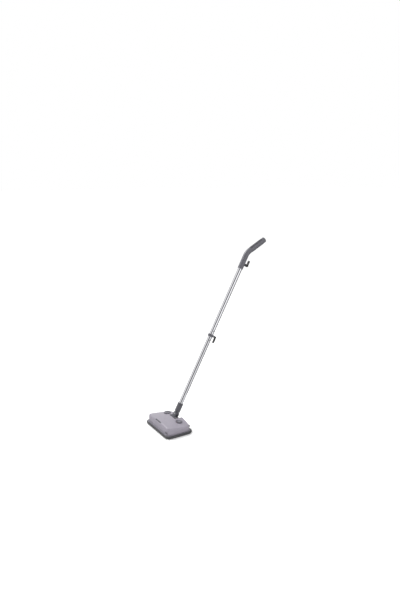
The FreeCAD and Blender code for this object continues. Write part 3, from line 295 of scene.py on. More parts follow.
def row_recipe(name, segments, rings, turn=None):
    """Row of rounded bits along a line, each lying along it unless all are given one turn."""
    tree, given = recipe(name, ["Step", "Length", "Thickness"])
    line = tree.nodes.new("GeometryNodeMeshToCurve")
    spots = tree.nodes.new("GeometryNodeCurveToPoints")
    spots.mode = "LENGTH"
    bit = tree.nodes.new("GeometryNodeMeshUVSphere")
    bit.inputs["Segments"].default_value = segments
    bit.inputs["Rings"].default_value = rings
    bit.inputs["Radius"].default_value = 0.5
    size = tree.nodes.new("ShaderNodeCombineXYZ")
    laid = tree.nodes.new("GeometryNodeInstanceOnPoints")
    if turn is None:
        tree.links.new(spots.outputs["Rotation"], laid.inputs["Rotation"])
    else:
        laid.inputs["Rotation"].default_value = turn
    tree.links.new(given.outputs["Geometry"], line.inputs[0])
    tree.links.new(line.outputs[0], spots.inputs["Curve"])
    tree.links.new(given.outputs["Step"], spots.inputs["Length"])
    tree.links.new(given.outputs["Thickness"], size.inputs["X"])
    tree.links.new(given.outputs["Thickness"], size.inputs["Y"])
    tree.links.new(given.outputs["Length"], size.inputs["Z"])
    tree.links.new(spots.outputs["Points"], laid.inputs["Points"])
    tree.links.new(bit.outputs[0], laid.inputs["Instance"])
    tree.links.new(size.outputs[0], laid.inputs["Scale"])
    ended(tree, given, laid.outputs[0])
    return tree


def remeshed(piece, voxel):
    """Even skin of small faces over a closed piece."""
    step = piece.modifiers.new("even", "REMESH")
    step.mode = "VOXEL"
    step.voxel_size = voxel
    graph = bpy.context.evaluated_depsgraph_get()
    even = bpy.data.meshes.new_from_object(piece.evaluated_get(graph))
    piece.modifiers.clear()
    piece.data = even


def puffed(piece, cap):
    """Swell the pad a little with cloth under pressure; no point moves past the cap."""
    start = [v.co.copy() for v in piece.data.vertices]
    cloth = piece.modifiers.new("cloth", "CLOTH")
    cloth.settings.use_pressure = True
    cloth.settings.uniform_pressure_force = PAD_PRESSURE
    cloth.settings.effector_weights.gravity = 0.0
    scene = bpy.context.scene
    for number in range(1, PAD_SETTLE + 1):
        scene.frame_set(number)
    graph = bpy.context.evaluated_depsgraph_get()
    swollen = bpy.data.meshes.new_from_object(piece.evaluated_get(graph))
    piece.modifiers.clear()
    scene.frame_set(1)
    for vertex, rest, moved in zip(piece.data.vertices, start, swollen.vertices):
        shift = moved.co - rest
        if shift.length > cap:
            shift *= cap / shift.length
        vertex.co = rest + shift
    bpy.data.meshes.remove(swollen)


microfibre = pile_cloth("pad_microfibre", (0.60, 0.60, 0.585), 0.0021, (0.40, 0.39, 0.36))
tape = woven_tape("pad_binding_tape", (0.11, 0.11, 0.12), 0.0007)
thread_white = woven_tape("pad_thread", (0.35, 0.35, 0.37), 0.0003)

pad_profile = ((0.030, 0.0006), (0.012, 0.0006), (0.0065, 0.0009), (0.0055, 0.0024), (0.0065, 0.0038),
               (0.012, 0.0042), (0.030, 0.0042))
pad = lofted("cleaning_pad_cushion", [plan_loop(inset, height) for inset, height in pad_profile], False)
remeshed(pad, PAD_VOXEL)
puffed(pad, PAD_CAP)
finer = pad.modifiers.new("finer", "SUBSURF")
finer.levels = 1
finer.render_levels = 1
pad.data = bpy.data.meshes.new_from_object(pad.evaluated_get(bpy.context.evaluated_depsgraph_get()))
pad.modifiers.clear()
for vertex in pad.data.vertices:
    sewn = min(abs(vertex.co.x - line) for line in PAD_CHANNELS)
    dip = CHANNEL_DEPTH * math.exp(-(sewn / CHANNEL_WIDTH) ** 2)
    inside = abs(vertex.co.y) < HEAD_WIDTH / 2 - PAD_INSET - TAPE_WIDTH
    if vertex.co.z < PAD_HEIGHT / 2:
        vertex.co.z = max(vertex.co.z, 0.0) + (dip if inside else 0.0)
    else:
        vertex.co.z = min(vertex.co.z, PAD_HEIGHT - 0.0002) - (dip if inside else 0.0)
for face in pad.data.polygons:
    face.use_smooth = True
pad.data.materials.clear()
pad.data.materials.append(microfibre)
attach(pad, "head")
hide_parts("cleaning_pad")

tape_profile = ((PAD_INSET + TAPE_WIDTH, 0.0001), (PAD_INSET + 0.0012, 0.0001), (PAD_INSET + 0.0003, 0.0007),
                (PAD_INSET, 0.0018), (PAD_INSET, 0.0032), (PAD_INSET + 0.0003, 0.0043),
                (PAD_INSET + 0.0012, 0.0049), (PAD_INSET + TAPE_WIDTH, 0.0049),
                (PAD_INSET + TAPE_WIDTH, 0.0044), (PAD_INSET + 0.0016, 0.0044),
                (PAD_INSET + 0.0008, 0.0032), (PAD_INSET + 0.0008, 0.0018),
                (PAD_INSET + 0.0016, 0.0006), (PAD_INSET + TAPE_WIDTH, 0.0006))
binding = lofted("pad_binding", [plan_loop(inset, height) for inset, height in tape_profile], True)
binding.data.materials.append(tape)
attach(binding, "head")

seam_lines = [plan_loop(PAD_INSET + TAPE_WIDTH - SEAM_EDGE, height) for height in SEAM_HEIGHTS]
stitch = {"Step": STITCH_STEP, "Length": STITCH_STEP * STITCH_FILL, "Thickness": STITCH_THICK}
seam = grown("pad_stitches", row_recipe("stitches", 6, 5), seam_lines, True, stitch, thread_white)
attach(seam, "head")

# ------------------------------------------------------------------ hook strips
# Four strips of woven hook tape glued to the underside of the sole.  Each is a field of
# tiny nylon hooks on a black backing with plain selvedges.


def dress(material, *nodes):
    """Give carried-over nodes one finish."""
    for name in nodes:
        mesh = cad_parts[name].data
        mesh.materials.clear()
        mesh.materials.append(material)


def hook_tape(name, tint, pitch):
    """Field of small nylon hooks in even rows: painted light makes their round heads pale and painted shade
    darkens the ground between them.
    """
    material, tree, shader = shader_tree(name)
    hooks = tree.nodes.new("ShaderNodeTexVoronoi")
    hooks.inputs["Scale"].default_value = 1 / pitch
    hooks.inputs["Randomness"].default_value = 0.2
    tree.links.new(place_on(tree), hooks.inputs["Vector"])
    head_height_and_light = graded(tree, hooks.outputs["Distance"], [(0.1, 1.0), (0.45, 0.0)])
    # Painted light on the hook heads and painted shade on the ground between them; the same pattern raises
    # the heads as bump.
    tree.links.new(mixed(tree, head_height_and_light, tuple(c * 0.5 for c in tint), tuple(c * 2.2 for c in tint)),
                   shader.inputs["Base Color"])
    shader.inputs["Roughness"].default_value = 0.6
    raised(tree, shader, head_height_and_light, 1.0, pitch * 0.6)
    return material


dress(hook_tape("hook_tape_black", (0.03, 0.03, 0.032), 0.0012), "hook_strips")

# ------------------------------------------------------------------ sole plate
# Rolled aluminium sheet, brushed along its length, with milled steam channels and rows of
# drilled outlets.  Six zinc-plated screws hold it up against the lower housing.

CAST_GRAIN = 0.0011


def worked_metal(name, tint, gloss, lines, turn=(0, 0, 0), pits=0.0, stain=(0.5, 0.48, 0.44)):
    """Sheet, cast or drawn metal: long tool lines, pits, smears and dull spots."""
    material, tree, shader = shader_tree(name)
    where = place_on(tree)
    shader.inputs["Metallic"].default_value = 1.0
    drawn = noise(tree, place_on(tree, turn, lines), 1.0, 4.0, 0.65)
    smears = noise(tree, where, 38.0, 5.0, 0.6, 0.9)
    dull = graded(tree, smears, [(0.48, 0.0), (0.78, 0.35)])
    tone = mixed(tree, graded(tree, drawn, [(0.3, 0.0), (0.7, 1.0)]), tuple(c * 0.9 for c in tint), tint)
    tone = mixed(tree, dull, tone, stain)
    tree.links.new(tone, shader.inputs["Base Color"])
    rough = graded(tree, smears, [(0.3, max(0.02, gloss - 0.03)), (0.75, gloss + 0.10)])
    tree.links.new(rough, shader.inputs["Roughness"])
    under = raised(tree, shader, drawn, 0.08, 0.0001)
    if pits:
        grains = noise(tree, where, 1 / CAST_GRAIN, 4.0, 0.7)
        raised(tree, shader, grains, pits, 0.0003, under)
    return material


plated = worked_metal("zinc_plated_steel", (0.60, 0.60, 0.61), 0.26, (0.004, 0.0004, 0.004))
dress(worked_metal("brushed_sole_sheet", (0.70, 0.70, 0.71), 0.30, (0.03, 0.00035, 0.03)), "sole_plate")
dress(plated, "sole_screws")

# ------------------------------------------------------------------ lower housing
# Grey tray moulded in ABS.  It carries the boiler and the bumper, and shows outside only as
# a satin ledge between the bumper and the cover.  Four screws come up through its floor.


def moulded(name, tint, gloss, spark=0.00045, edge=0.0007, wear=0.3, coat=0.0, depth=0.16):
    """Injection-moulded plastic: spark-eroded grain, flow marks, softened and rubbed edges."""
    material, tree, shader = shader_tree(name)
    where = place_on(tree)
    flow = noise(tree, where, 13.0, 4.0, 0.6, 0.5)
    marks = noise(tree, where, 60.0, 6.0, 0.62, 1.2)
    scuffs = noise(tree, place_on(tree, (0.4, 0.2, 0.7), (0.02, 0.0012, 0.006)), 1.0, 4.0, 0.7)
    rounded = tree.nodes.new("ShaderNodeBevel")
    rounded.samples = 4
    rounded.inputs["Radius"].default_value = edge
    turned = tree.nodes.new("ShaderNodeVectorMath")
    turned.operation = "DOT_PRODUCT"
    tree.links.new(rounded.outputs["Normal"], turned.inputs[0])
    tree.links.new(tree.nodes.new("ShaderNodeNewGeometry").outputs["Normal"], turned.inputs[1])
    rubbed = graded(tree, turned.outputs["Value"], [(0.80, wear), (0.97, 0.0)])
    body = mixed(tree, graded(tree, flow, [(0.3, 0.0), (0.7, 1.0)]), tuple(c * 0.95 for c in tint),
                 tuple(min(1.0, c * 1.05) for c in tint))
    body = mixed(tree, rubbed, body, tuple(min(1.0, c * 1.45 + 0.02) for c in tint))
    body = mixed(tree, graded(tree, scuffs, [(0.66, 0.0), (0.78, 0.12)]), body,
                 tuple(min(1.0, c * 1.3 + 0.02) for c in tint))
    tree.links.new(body, shader.inputs["Base Color"])
    rough = graded(tree, marks, [(0.25, max(0.04, gloss - 0.06)), (0.75, min(1.0, gloss + 0.08))])
    tree.links.new(rough, shader.inputs["Roughness"])
    shader.inputs["Coat Weight"].default_value = coat
    shader.inputs["Coat Roughness"].default_value = 0.15
    grain = noise(tree, where, 1 / spark, 2.0, 0.55)
    raised(tree, shader, grain, depth, spark * 0.35, rounded.outputs["Normal"])
    return material


dress(moulded("housing_grey", (0.235, 0.230, 0.262), 0.46), "lower_tray")
dress(plated, "housing_screws")

# ------------------------------------------------------------------ bumper strip
# Extruded black rubber, pushed over a rib of the housing all the way round.  Two shallow
# grooves run round its face, and its shoulder is rounded so that it rolls off furniture.

BUMPER_FOOT = 0.0055
BUMPER_TOP = 0.0160
BUMPER_DEEP = 0.0065
BUMPER_RIM = 0.0025
BUMPER_SHOULDER = 0.0045
GROOVE_HEIGHTS = (0.0088, 0.0106)
GROOVE_HALF = 0.0006
GROOVE_DEPTH = 0.00055
ROUND_STEPS = 8


def rubber(name, tint, gloss, bloom, speck=0.0007):
    """Rubber: matt, finely pitted, with a grey bloom, dust and darker handled patches."""
    material, tree, shader = shader_tree(name)
    where = place_on(tree)
    dusty = noise(tree, where, 34.0, 6.0, 0.62, 0.8)
    tone = mixed(tree, graded(tree, dusty, [(0.42, 0.0), (0.72, 0.65)]), tint, bloom)
    tree.links.new(tone, shader.inputs["Base Color"])
    rough = graded(tree, dusty, [(0.3, gloss), (0.7, min(1.0, gloss + 0.18))])
    tree.links.new(rough, shader.inputs["Roughness"])
    raised(tree, shader, noise(tree, where, 1 / speck, 3.0, 0.6), 0.25, speck * 0.4)
    return material


def bumper_profile():
    """Section of the strip as (inset, height), from the inner foot round the face."""
    section = [(BUMPER_DEEP, BUMPER_FOOT)]
    for step in range(ROUND_STEPS + 1):
        angle = math.radians(90 * step / ROUND_STEPS)
        section.append((BUMPER_RIM - BUMPER_RIM * math.sin(angle),
                        BUMPER_FOOT + BUMPER_RIM - BUMPER_RIM * math.cos(angle)))
    for middle in GROOVE_HEIGHTS:
        for offset, depth in ((-1.0, 0.0), (-0.5, 0.7), (0.0, 1.0), (0.5, 0.7), (1.0, 0.0)):
            section.append((GROOVE_DEPTH * depth, middle + GROOVE_HALF * offset))
    for step in range(ROUND_STEPS + 1):
        angle = math.radians(90 * step / ROUND_STEPS)
        section.append((BUMPER_SHOULDER - BUMPER_SHOULDER * math.cos(angle),
                        BUMPER_TOP - BUMPER_SHOULDER + BUMPER_SHOULDER * math.sin(angle)))
    section.append((BUMPER_DEEP, BUMPER_TOP))
    return section


bumper_rubber = rubber("bumper_rubber_black", (0.042, 0.042, 0.046), 0.42, (0.085, 0.083, 0.086))
bumper = lofted("bumper_extrusion", [plan_loop(inset, height) for inset, height in bumper_profile()], True)
bumper.data.materials.append(bumper_rubber)
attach(bumper, "head")
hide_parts("bumper_strip")

# ------------------------------------------------------------------ boiler
# Sand-cast aluminium box and lid with a silicone seal between them, six screws round the
# rim and a sheathed element inside.  It stands on four feet of the housing, unseen in use.

cast_grey = worked_metal("cast_aluminium", (0.52, 0.52, 0.53), 0.50, (0.02, 0.02, 0.02), pits=0.5)
seal_red = rubber("silicone_red", (0.38, 0.10, 0.06), 0.50, (0.52, 0.22, 0.16))
sheath = worked_metal("element_sheath", (0.30, 0.27, 0.24), 0.42, (0.03, 0.0004, 0.0004),
                      stain=(0.20, 0.13, 0.09))
dress(cast_grey, "boiler_base", "boiler_lid", "filler_neck")
dress(seal_red, "boiler_gasket", "filler_neck_seal")
dress(plated, "boiler_screws", "thermal_fuse")
dress(sheath, "heating_element")

# ------------------------------------------------------------------ steam path and wiring
# Turned brass outlet valve, clear-grey silicone hose and a nylon manifold that feeds the
# sole.  Ivory phenolic thermostats and terminal block, and red sleeved leads between them.

brass = worked_metal("turned_brass", (0.70, 0.54, 0.26), 0.28, (0.0006, 0.0006, 0.02),
                     stain=(0.38, 0.26, 0.12))
ivory = moulded("phenolic_ivory", (0.62, 0.58, 0.48), 0.50, spark=0.0007, wear=0.15)
dress(brass, "steam_valve")
dress(rubber("hose_silicone", (0.42, 0.40, 0.37), 0.42, (0.55, 0.53, 0.50)), "steam_hose")
dress(ivory, "steam_manifold", "terminal_block", "thermostats", "switch_body")
dress(rubber("lead_sleeve_red", (0.35, 0.04, 0.03), 0.48, (0.45, 0.12, 0.10)), "wiring_loom")

# ------------------------------------------------------------------ top cover
# Pale lilac-grey cover moulded in ABS with a satin skin, flat along its front and arched
# towards the back.  It drops over the lip of the housing and carries a blank dark badge.

cover_lilac = moulded("cover_lilac_satin", (0.271, 0.251, 0.297), 0.36, spark=0.0005, edge=0.0012, wear=0.22,
                      coat=0.12, depth=0.10)
dress(cover_lilac, "top_cover")
dress(moulded("badge_graphite", (0.060, 0.060, 0.072), 0.30, spark=0.0003, coat=0.3), "badge_plate")
dress(moulded("gland_black", (0.022, 0.022, 0.024), 0.38), "cord_gland")

# ------------------------------------------------------------------ steam mark
# Three rising waves moulded proud of the front wall near its right end and painted dark:
# the plain sign for steam, with no lettering.

MARK_X = 0.1035
MARK_PITCH = 0.0062
MARK_FOOT = 0.0235
MARK_TALL = 0.0125
MARK_SWAY = 0.0014
MARK_BEAD = 0.0011
MARK_STEPS = 24
COVER_INSET = 0.012


def wall_depth(across):
    """How far forward the front wall of the cover stands at a distance from its middle."""
    radius = HEAD_CORNER - COVER_INSET / 2
    straight = HEAD_LENGTH / 2 - COVER_INSET - radius
    middle = HEAD_WIDTH / 2 - COVER_INSET - radius
    over = max(0.0, across - straight)
    return -middle - math.sqrt(radius * radius - over * over)


def bead_recipe():
    """A round cord laid along each line."""
    tree, given = recipe("bead_along_line", ["Radius"])
    line = tree.nodes.new("GeometryNodeMeshToCurve")
    section = tree.nodes.new("GeometryNodeCurvePrimitiveCircle")
    section.inputs["Resolution"].default_value = 8
    skin = tree.nodes.new("GeometryNodeCurveToMesh")
    skin.inputs["Fill Caps"].default_value = True
    tree.links.new(given.outputs["Geometry"], line.inputs[0])
    tree.links.new(given.outputs["Radius"], section.inputs["Radius"])
    tree.links.new(line.outputs[0], skin.inputs["Curve"])
    tree.links.new(section.outputs[0], skin.inputs["Profile Curve"])
    ended(tree, given, skin.outputs[0])
    return tree


marks = []
for number in (-1, 0, 1):
    wave = []
    for step in range(MARK_STEPS + 1):
        rise = step / MARK_STEPS
        across = MARK_X + number * MARK_PITCH + MARK_SWAY * math.sin(rise * 2 * math.pi)
        wave.append((across, wall_depth(across) - 0.0001, MARK_FOOT + rise * MARK_TALL))
    marks.append(wave)
mark_paint = moulded("mark_graphite", (0.030, 0.029, 0.036), 0.4, spark=0.0003)
bead = bead_recipe()
steam_mark = grown("steam_mark", bead, marks, False, {"Radius": MARK_BEAD}, mark_paint)
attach(steam_mark, "head")

# ------------------------------------------------------------------ switch
# Round push switch on the right of the neck: a bezel with a small red indicator, and a
# dished button on a coil spring.  The power sign is printed on the button.

fitting = moulded("fitting_grey", (0.118, 0.114, 0.134), 0.34, spark=0.0004, edge=0.0009, wear=0.35, coat=0.1)
button = moulded("button_grey", (0.165, 0.160, 0.185), 0.32, spark=0.0004, edge=0.0008, wear=0.3, coat=0.1)
dress(fitting, "switch_bezel")
dress(button, "button_cap")
dress(plated, "button_spring")

material, tree, shader = shader_tree("indicator_red")
depths = noise(tree, place_on(tree), 700.0, 2.0)
tree.links.new(mixed(tree, depths, (0.35, 0.03, 0.02), (0.60, 0.07, 0.04)), shader.inputs["Base Color"])
tree.links.new(graded(tree, depths, [(0.3, 0.12), (0.7, 0.2)]), shader.inputs["Roughness"])
shader.inputs["Transmission Weight"].default_value = 0.25
shader.inputs["Coat Weight"].default_value = 0.5
raised(tree, shader, depths, 0.2, 0.0002)
dress(material, "indicator_lens")

button_low, button_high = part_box("button_cap")
button_mid = (Vector(button_low) + Vector(button_high)) / 2
SIGN_RADIUS = 0.0046
SIGN_BEAD = 0.00035
SIGN_START = -235
SIGN_SWEEP = 290
BAR_FOOT = 0.0015
BAR_LENGTH = 0.0045
DISH_RADIUS = 0.090
DISH_DEPTH = 0.0008


def on_button(across, along):
    """Point on the dished top of the button."""
    reach = across * across + along * along
    height = button_high[2] - DISH_DEPTH + reach / (2 * DISH_RADIUS)
    return (button_mid.x + across, button_mid.y + along, height + 0.00005)


sign_arc = []
for step in range(33):
    angle = math.radians(SIGN_START + SIGN_SWEEP * step / 32)
    sign_arc.append(on_button(SIGN_RADIUS * math.cos(angle), SIGN_RADIUS * math.sin(angle)))
sign_bar = [on_button(0.0, BAR_FOOT + BAR_LENGTH * step / 6) for step in range(7)]
power_sign = grown("power_sign", bead, [sign_arc, sign_bar], False, {"Radius": SIGN_BEAD},
                   moulded("sign_white", (0.55, 0.55, 0.57), 0.45, spark=0.0003))
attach(power_sign, "power_button")

# ------------------------------------------------------------------ filler cap
# Screw cap over the boiler: a scalloped knob with a finger bar, a nylon plug with a brass
# relief valve and its spring inside, and a red silicone washer under the rim.

dress(fitting, "cap_knob")
dress(ivory, "cap_plug")
dress(brass, "cap_relief_valve")
dress(plated, "cap_valve_spring")
dress(seal_red, "filler_gasket")

# ------------------------------------------------------------------ neck
# Glass-filled nylon yoke that tilts in two screwed bearing blocks, with acetal washers at
# its ends.  A steel pin joins it to the neck sleeve, which is screwed to the lower tube.

neck_nylon = moulded("neck_nylon", (0.088, 0.087, 0.102), 0.44, spark=0.0006, edge=0.0011, wear=0.4,
                     depth=0.22)
dress(neck_nylon, "bearing_block_left", "bearing_block_right", "neck_yoke", "neck_sleeve")
dress(ivory, "friction_washers")
dress(plated, "bearing_screws", "roll_pin", "sleeve_screw")

# The pole leans back about the tilting axle.  Places on it are given along the pole, across
# it (to the right) and out of its back, where the cord hooks are.
POLE_LEAN = math.radians(28.4556)
POLE_FOOT = Vector((0.0, 0.036, 0.052))
ALONG = Vector((0.0, math.sin(POLE_LEAN), math.cos(POLE_LEAN)))
OUT = Vector((0.0, math.cos(POLE_LEAN), -math.sin(POLE_LEAN)))
ACROSS = Vector((1.0, 0.0, 0.0))


def on_pole(up, across=0.0, out=0.0):
    """Point in the head's frame from a place on the pole."""
    return POLE_FOOT + ALONG * up + ACROSS * across + OUT * out


# Ribs near the top of the sleeve, where a hand twists it off the tube
SLEEVE_RADIUS = 0.016
SLEEVE_RIBS = 4
SLEEVE_RIB_FROM = 0.0790
SLEEVE_RIB_STEP = 0.0028
SLEEVE_RIB_BEAD = 0.00055
round_angles = [2 * math.pi * i / 72 for i in range(72)]
rib_loops = []
for number in range(SLEEVE_RIBS):
    up = SLEEVE_RIB_FROM + SLEEVE_RIB_STEP * number
    rib_loops.append([on_pole(up, SLEEVE_RADIUS * math.cos(a), SLEEVE_RADIUS * math.sin(a))
                      for a in round_angles])
sleeve_ribs = grown("sleeve_ribs", bead, rib_loops, True, {"Radius": SLEEVE_RIB_BEAD}, neck_nylon)
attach(sleeve_ribs, "pole")

# ------------------------------------------------------------------ tubes
# Two lengths of drawn aluminium tube, 25 mm across and polished bright, joined by an inner
# sleeve.  Fine lines run along them, with finger smears and a few dull scratches.


def polished_tube(name, tint):
    """Bright drawn tube: fine lines along the pole, smears, dull spots and scratches."""
    material, tree, shader = shader_tree(name)
    lean = (-POLE_LEAN, 0, 0)
    where = place_on(tree)
    drawn = noise(tree, place_on(tree, lean, (0.0003, 0.0003, 0.09)), 1.0, 3.0, 0.6)
    smears = noise(tree, place_on(tree, lean, (0.02, 0.02, 0.05)), 1.0, 6.0, 0.62, 1.0)
    scratches = noise(tree, place_on(tree, lean, (0.0016, 0.0016, 0.03)), 1.0, 2.0, 0.5, 0.3)
    shader.inputs["Metallic"].default_value = 1.0
    dull = graded(tree, smears, [(0.5, 0.0), (0.8, 0.25)])
    tone = mixed(tree, dull, tint, tuple(c * 0.9 for c in tint))
    tone = mixed(tree, graded(tree, scratches, [(0.72, 0.0), (0.82, 0.3)]), tone, (0.5, 0.5, 0.52))
    tree.links.new(tone, shader.inputs["Base Color"])
    tree.links.new(graded(tree, smears, [(0.35, 0.06), (0.8, 0.17)]), shader.inputs["Roughness"])
    waved = raised(tree, shader, noise(tree, where, 90.0, 2.0), 0.01, 0.0002)
    raised(tree, shader, drawn, 0.04, 0.00005, waved)
    return material


bright_tube = polished_tube("tube_polished", (0.78, 0.78, 0.81))
dress(bright_tube, "lower_tube", "upper_tube")
dress(ivory, "tube_joiner", "tube_plugs")

# ------------------------------------------------------------------ snap buttons
# Domed black nylon buttons on bent leaves of spring steel inside the joiner.  They lock the
# tubes together through a hole in each, on the right-hand side.

hook_black = moulded("hook_black", (0.016, 0.016, 0.018), 0.26, spark=0.0004, edge=0.0022, wear=0.10,
                     coat=0.2)
dress(hook_black, "snap_button_lower", "snap_button_upper")
dress(worked_metal("spring_leaf", (0.45, 0.44, 0.43), 0.22, (0.0003, 0.0003, 0.02), (-POLE_LEAN, 0, 0)),
      "snap_spring_lower", "snap_spring_upper")

# ------------------------------------------------------------------ collar and lower hook
# Nylon collar pressed over the joint of the tubes, with a band of fine grip ribs.  A glossy
# black hook is screwed to its back and points down to hold the wound cord.

collar_nylon = moulded("collar_nylon", (0.125, 0.123, 0.142), 0.40, spark=0.0005, edge=0.0009, wear=0.4)
dress(collar_nylon, "hook_collar")
dress(plated, "collar_screws")
dress(hook_black, "lower_cord_hook")
COLLAR_RADIUS = 0.016
COLLAR_UP = 0.5125
COLLAR_RIB_ARC = math.radians(280)
COLLAR_RIB = {"Step": 0.0021, "Thickness": 0.0011, "Length": 0.0105}

rib_arc = []
for step in range(97):
    angle = math.pi / 2 + (2 * math.pi - COLLAR_RIB_ARC) / 2 + COLLAR_RIB_ARC * step / 96
    rib_arc.append(on_pole(COLLAR_UP, COLLAR_RADIUS * math.cos(angle), COLLAR_RADIUS * math.sin(angle)))
upright = row_recipe("upright_ribs", 8, 8, (-POLE_LEAN, 0, 0))
collar_ribs = grown("collar_ribs", upright, [rib_arc], False, COLLAR_RIB, collar_nylon)
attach(collar_ribs, "pole")

# ------------------------------------------------------------------ handle
# Bent grip in two moulded halves, held by three screws from the left, with soft strips laid
# into its top and underside and a soft cap at its end.

handle_grey = moulded("handle_grey", (0.108, 0.106, 0.124), 0.42, spark=0.0007, edge=0.0009, wear=0.3,
                      depth=0.24)
grip_soft = rubber("grip_soft_grey", (0.052, 0.051, 0.062), 0.55, (0.085, 0.083, 0.096))
dress(handle_grey, "handle_left", "handle_right")
dress(plated, "handle_screws")
dress(grip_soft, "grip_inlays", "handle_end_cap")
GRIP_RADIUS = 0.0155
BEND_RADIUS = 0.070
BEND_ANGLE = math.radians(33.0)
CORNER_UP = 1.0256
INLAY_FROM = 0.010
INLAY_TO = 0.096
INLAY_SPAN = math.radians(70)
GRIP_RIBS = 18
GRIP_RIB_PROUD = 0.0004
GRIP_RIB_BEAD = 0.0006
bend_up = CORNER_UP - BEND_RADIUS * math.tan(BEND_ANGLE / 2)


def on_grip(past, across, out):
    """Point of the straight grip, measured from the end of the bend."""
    centre_up = bend_up + BEND_RADIUS * math.sin(BEND_ANGLE)
    centre_out = BEND_RADIUS * (1 - math.cos(BEND_ANGLE))
    up = centre_up + past * math.cos(BEND_ANGLE) - out * math.sin(BEND_ANGLE)
    away = centre_out + past * math.sin(BEND_ANGLE) + out * math.cos(BEND_ANGLE)
    return on_pole(up, across, away)


rib_radius = GRIP_RADIUS + GRIP_RIB_PROUD
inlay_angles = [INLAY_SPAN * (i / 16 - 0.5) for i in range(17)]
grip_lines = []
for number in range(GRIP_RIBS):
    past = INLAY_FROM + (INLAY_TO - INLAY_FROM) * (number + 0.5) / GRIP_RIBS
    for side in (-1, 1):
        grip_lines.append([on_grip(past, rib_radius * math.sin(a), side * rib_radius * math.cos(a))
                           for a in inlay_angles])
grip_ribs = grown("grip_ribs", bead, grip_lines, False, {"Radius": GRIP_RIB_BEAD}, grip_soft)
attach(grip_ribs, "pole")

# ------------------------------------------------------------------ upper hook
# Glossy black hook on a shouldered screw under the handle.  It points up, and swings right
# round to drop the wound cord.

dress(hook_black, "upper_cord_hook")
dress(plated, "hook_pivot_screw")

# ------------------------------------------------------------------ studio
# Seamless white floor and background, soft light from the upper left, and dark and grey
# screens that only the polished tube and the satin cover mirror.  The floor is mirrored in
# grey too, so that the bright tube shows against it from every side.

FLOOR_REACH = 60.0
FLOOR_HEIGHT = -0.0002
floor_corners = [(x * FLOOR_REACH, y * FLOOR_REACH, FLOOR_HEIGHT)
                 for x, y in ((-1, -1), (1, -1), (1, 1), (-1, 1))]
floor_mesh = bpy.data.meshes.new("studio_floor")
floor_mesh.from_pydata(floor_corners, [], [(0, 1, 2, 3)])
floor = added("studio_floor", floor_mesh)
material, tree, shader = shader_tree("floor_white")
shader.inputs["Base Color"].default_value = (0.93, 0.93, 0.93, 1)
shader.inputs["Roughness"].default_value = 1.0
shader.inputs["Specular IOR Level"].default_value = 0.0
shader.inputs["Emission Color"].default_value = (1, 1, 1, 1)
shader.inputs["Emission Strength"].default_value = 0.10
mirrored = tree.nodes.new("ShaderNodeEmission")
mirrored.inputs["Color"].default_value = (0.64, 0.64, 0.65, 1)
ray = tree.nodes.new("ShaderNodeLightPath")
either = tree.nodes.new("ShaderNodeMixShader")
tree.links.new(ray.outputs["Is Glossy Ray"], either.inputs[0])
tree.links.new(shader.outputs[0], either.inputs[1])
tree.links.new(mirrored.outputs[0], either.inputs[2])
output = next(node for node in tree.nodes if node.type == "OUTPUT_MATERIAL")
tree.links.new(either.outputs[0], output.inputs["Surface"])
floor_mesh.materials.append(material)

world = bpy.data.worlds.new("studio")
world.use_nodes = True
world.node_tree.nodes["Background"].inputs[0].default_value = (1, 1, 1, 1)
world.node_tree.nodes["Background"].inputs[1].default_value = 1.0
bpy.context.scene.world = world
bpy.context.scene.view_settings.view_transform = "Standard"

POLE_MIDDLE = Vector((0.0, 0.311, 0.56))


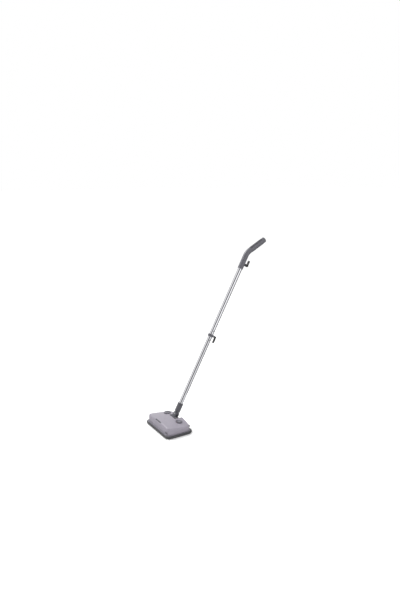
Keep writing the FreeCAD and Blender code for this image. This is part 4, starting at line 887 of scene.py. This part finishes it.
def screen(name, bearing, width, grey, foot=-2.5, top=2.5, distance=3.2):
    """Tall screen, square to the pole, that only shiny surfaces see."""
    angle = math.radians(bearing)
    outward = ACROSS * math.cos(angle) + OUT * math.sin(angle)
    aside = ACROSS * -math.sin(angle) + OUT * math.cos(angle)
    middle = POLE_MIDDLE + outward * distance
    corners = [middle + aside * (width / 2) * side + ALONG * up
               for side, up in ((-1, foot), (1, foot), (1, top), (-1, top))]
    mesh = bpy.data.meshes.new(name)
    mesh.from_pydata([tuple(p) for p in corners], [], [(0, 1, 2, 3)])
    piece = added(name, mesh)
    material, tree, shader = shader_tree(name + "_glow_card")
    shader.inputs["Base Color"].default_value = (0, 0, 0, 1)
    shader.inputs["Roughness"].default_value = 1.0
    shader.inputs["Specular IOR Level"].default_value = 0.0
    # The screen is a card that glows with its grey; only reflections see it, so it paints reflections on
    # shiny surfaces.
    shader.inputs["Emission Color"].default_value = (grey, grey, grey, 1)
    shader.inputs["Emission Strength"].default_value = 1.0
    mesh.materials.append(material)
    piece.visible_camera = False
    piece.visible_diffuse = False
    piece.visible_shadow = False


screen("dark_screen", -44, 2.9, 0.08)
screen("side_screen", 85, 0.45, 0.12, distance=0.32)
screen("edge_screen", -150, 3.4, 0.58)
screen("bright_screen", 2, 0.65, 1.35, foot=-0.05, distance=0.8)
screen("low_screen", 2, 0.65, 1.00, top=-0.05, distance=0.8)


def softbox(name, place, aim, size, power):
    """Large soft lamp at a place, turned towards its aim."""
    lamp = bpy.data.lights.new(name, "AREA")
    lamp.shape = "RECTANGLE"
    lamp.size, lamp.size_y = size
    lamp.energy = power
    holder = bpy.data.objects.new(name, lamp)
    bpy.context.scene.collection.objects.link(holder)
    holder.location = place
    holder.rotation_euler = (Vector(aim) - Vector(place)).to_track_quat("-Z", "Y").to_euler()


softbox("top_light", (-2.0, -0.6, 3.0), (0, 0.1, 0.1), (1.8, 1.4), 75)

# View from the front right and a little above
AZIMUTH = math.radians(57.81)
ELEVATION = math.radians(16.63)
DISTANCE = 3.0
AIM = Vector((0, 0.25, 0.5))
lens = bpy.data.cameras.new("camera")
lens.sensor_width = 36.0
lens.lens = 31.855
lens.shift_x = -0.0103
lens.shift_y = 0.0609
camera = bpy.data.objects.new("camera", lens)
bpy.context.scene.collection.objects.link(camera)
towards = Vector((math.sin(AZIMUTH) * math.cos(ELEVATION), -math.cos(AZIMUTH) * math.cos(ELEVATION),
                  math.sin(ELEVATION)))
camera.location = AIM + towards * DISTANCE
camera.rotation_euler = (-towards).to_track_quat("-Z", "Y").to_euler()
bpy.context.scene.camera = camera
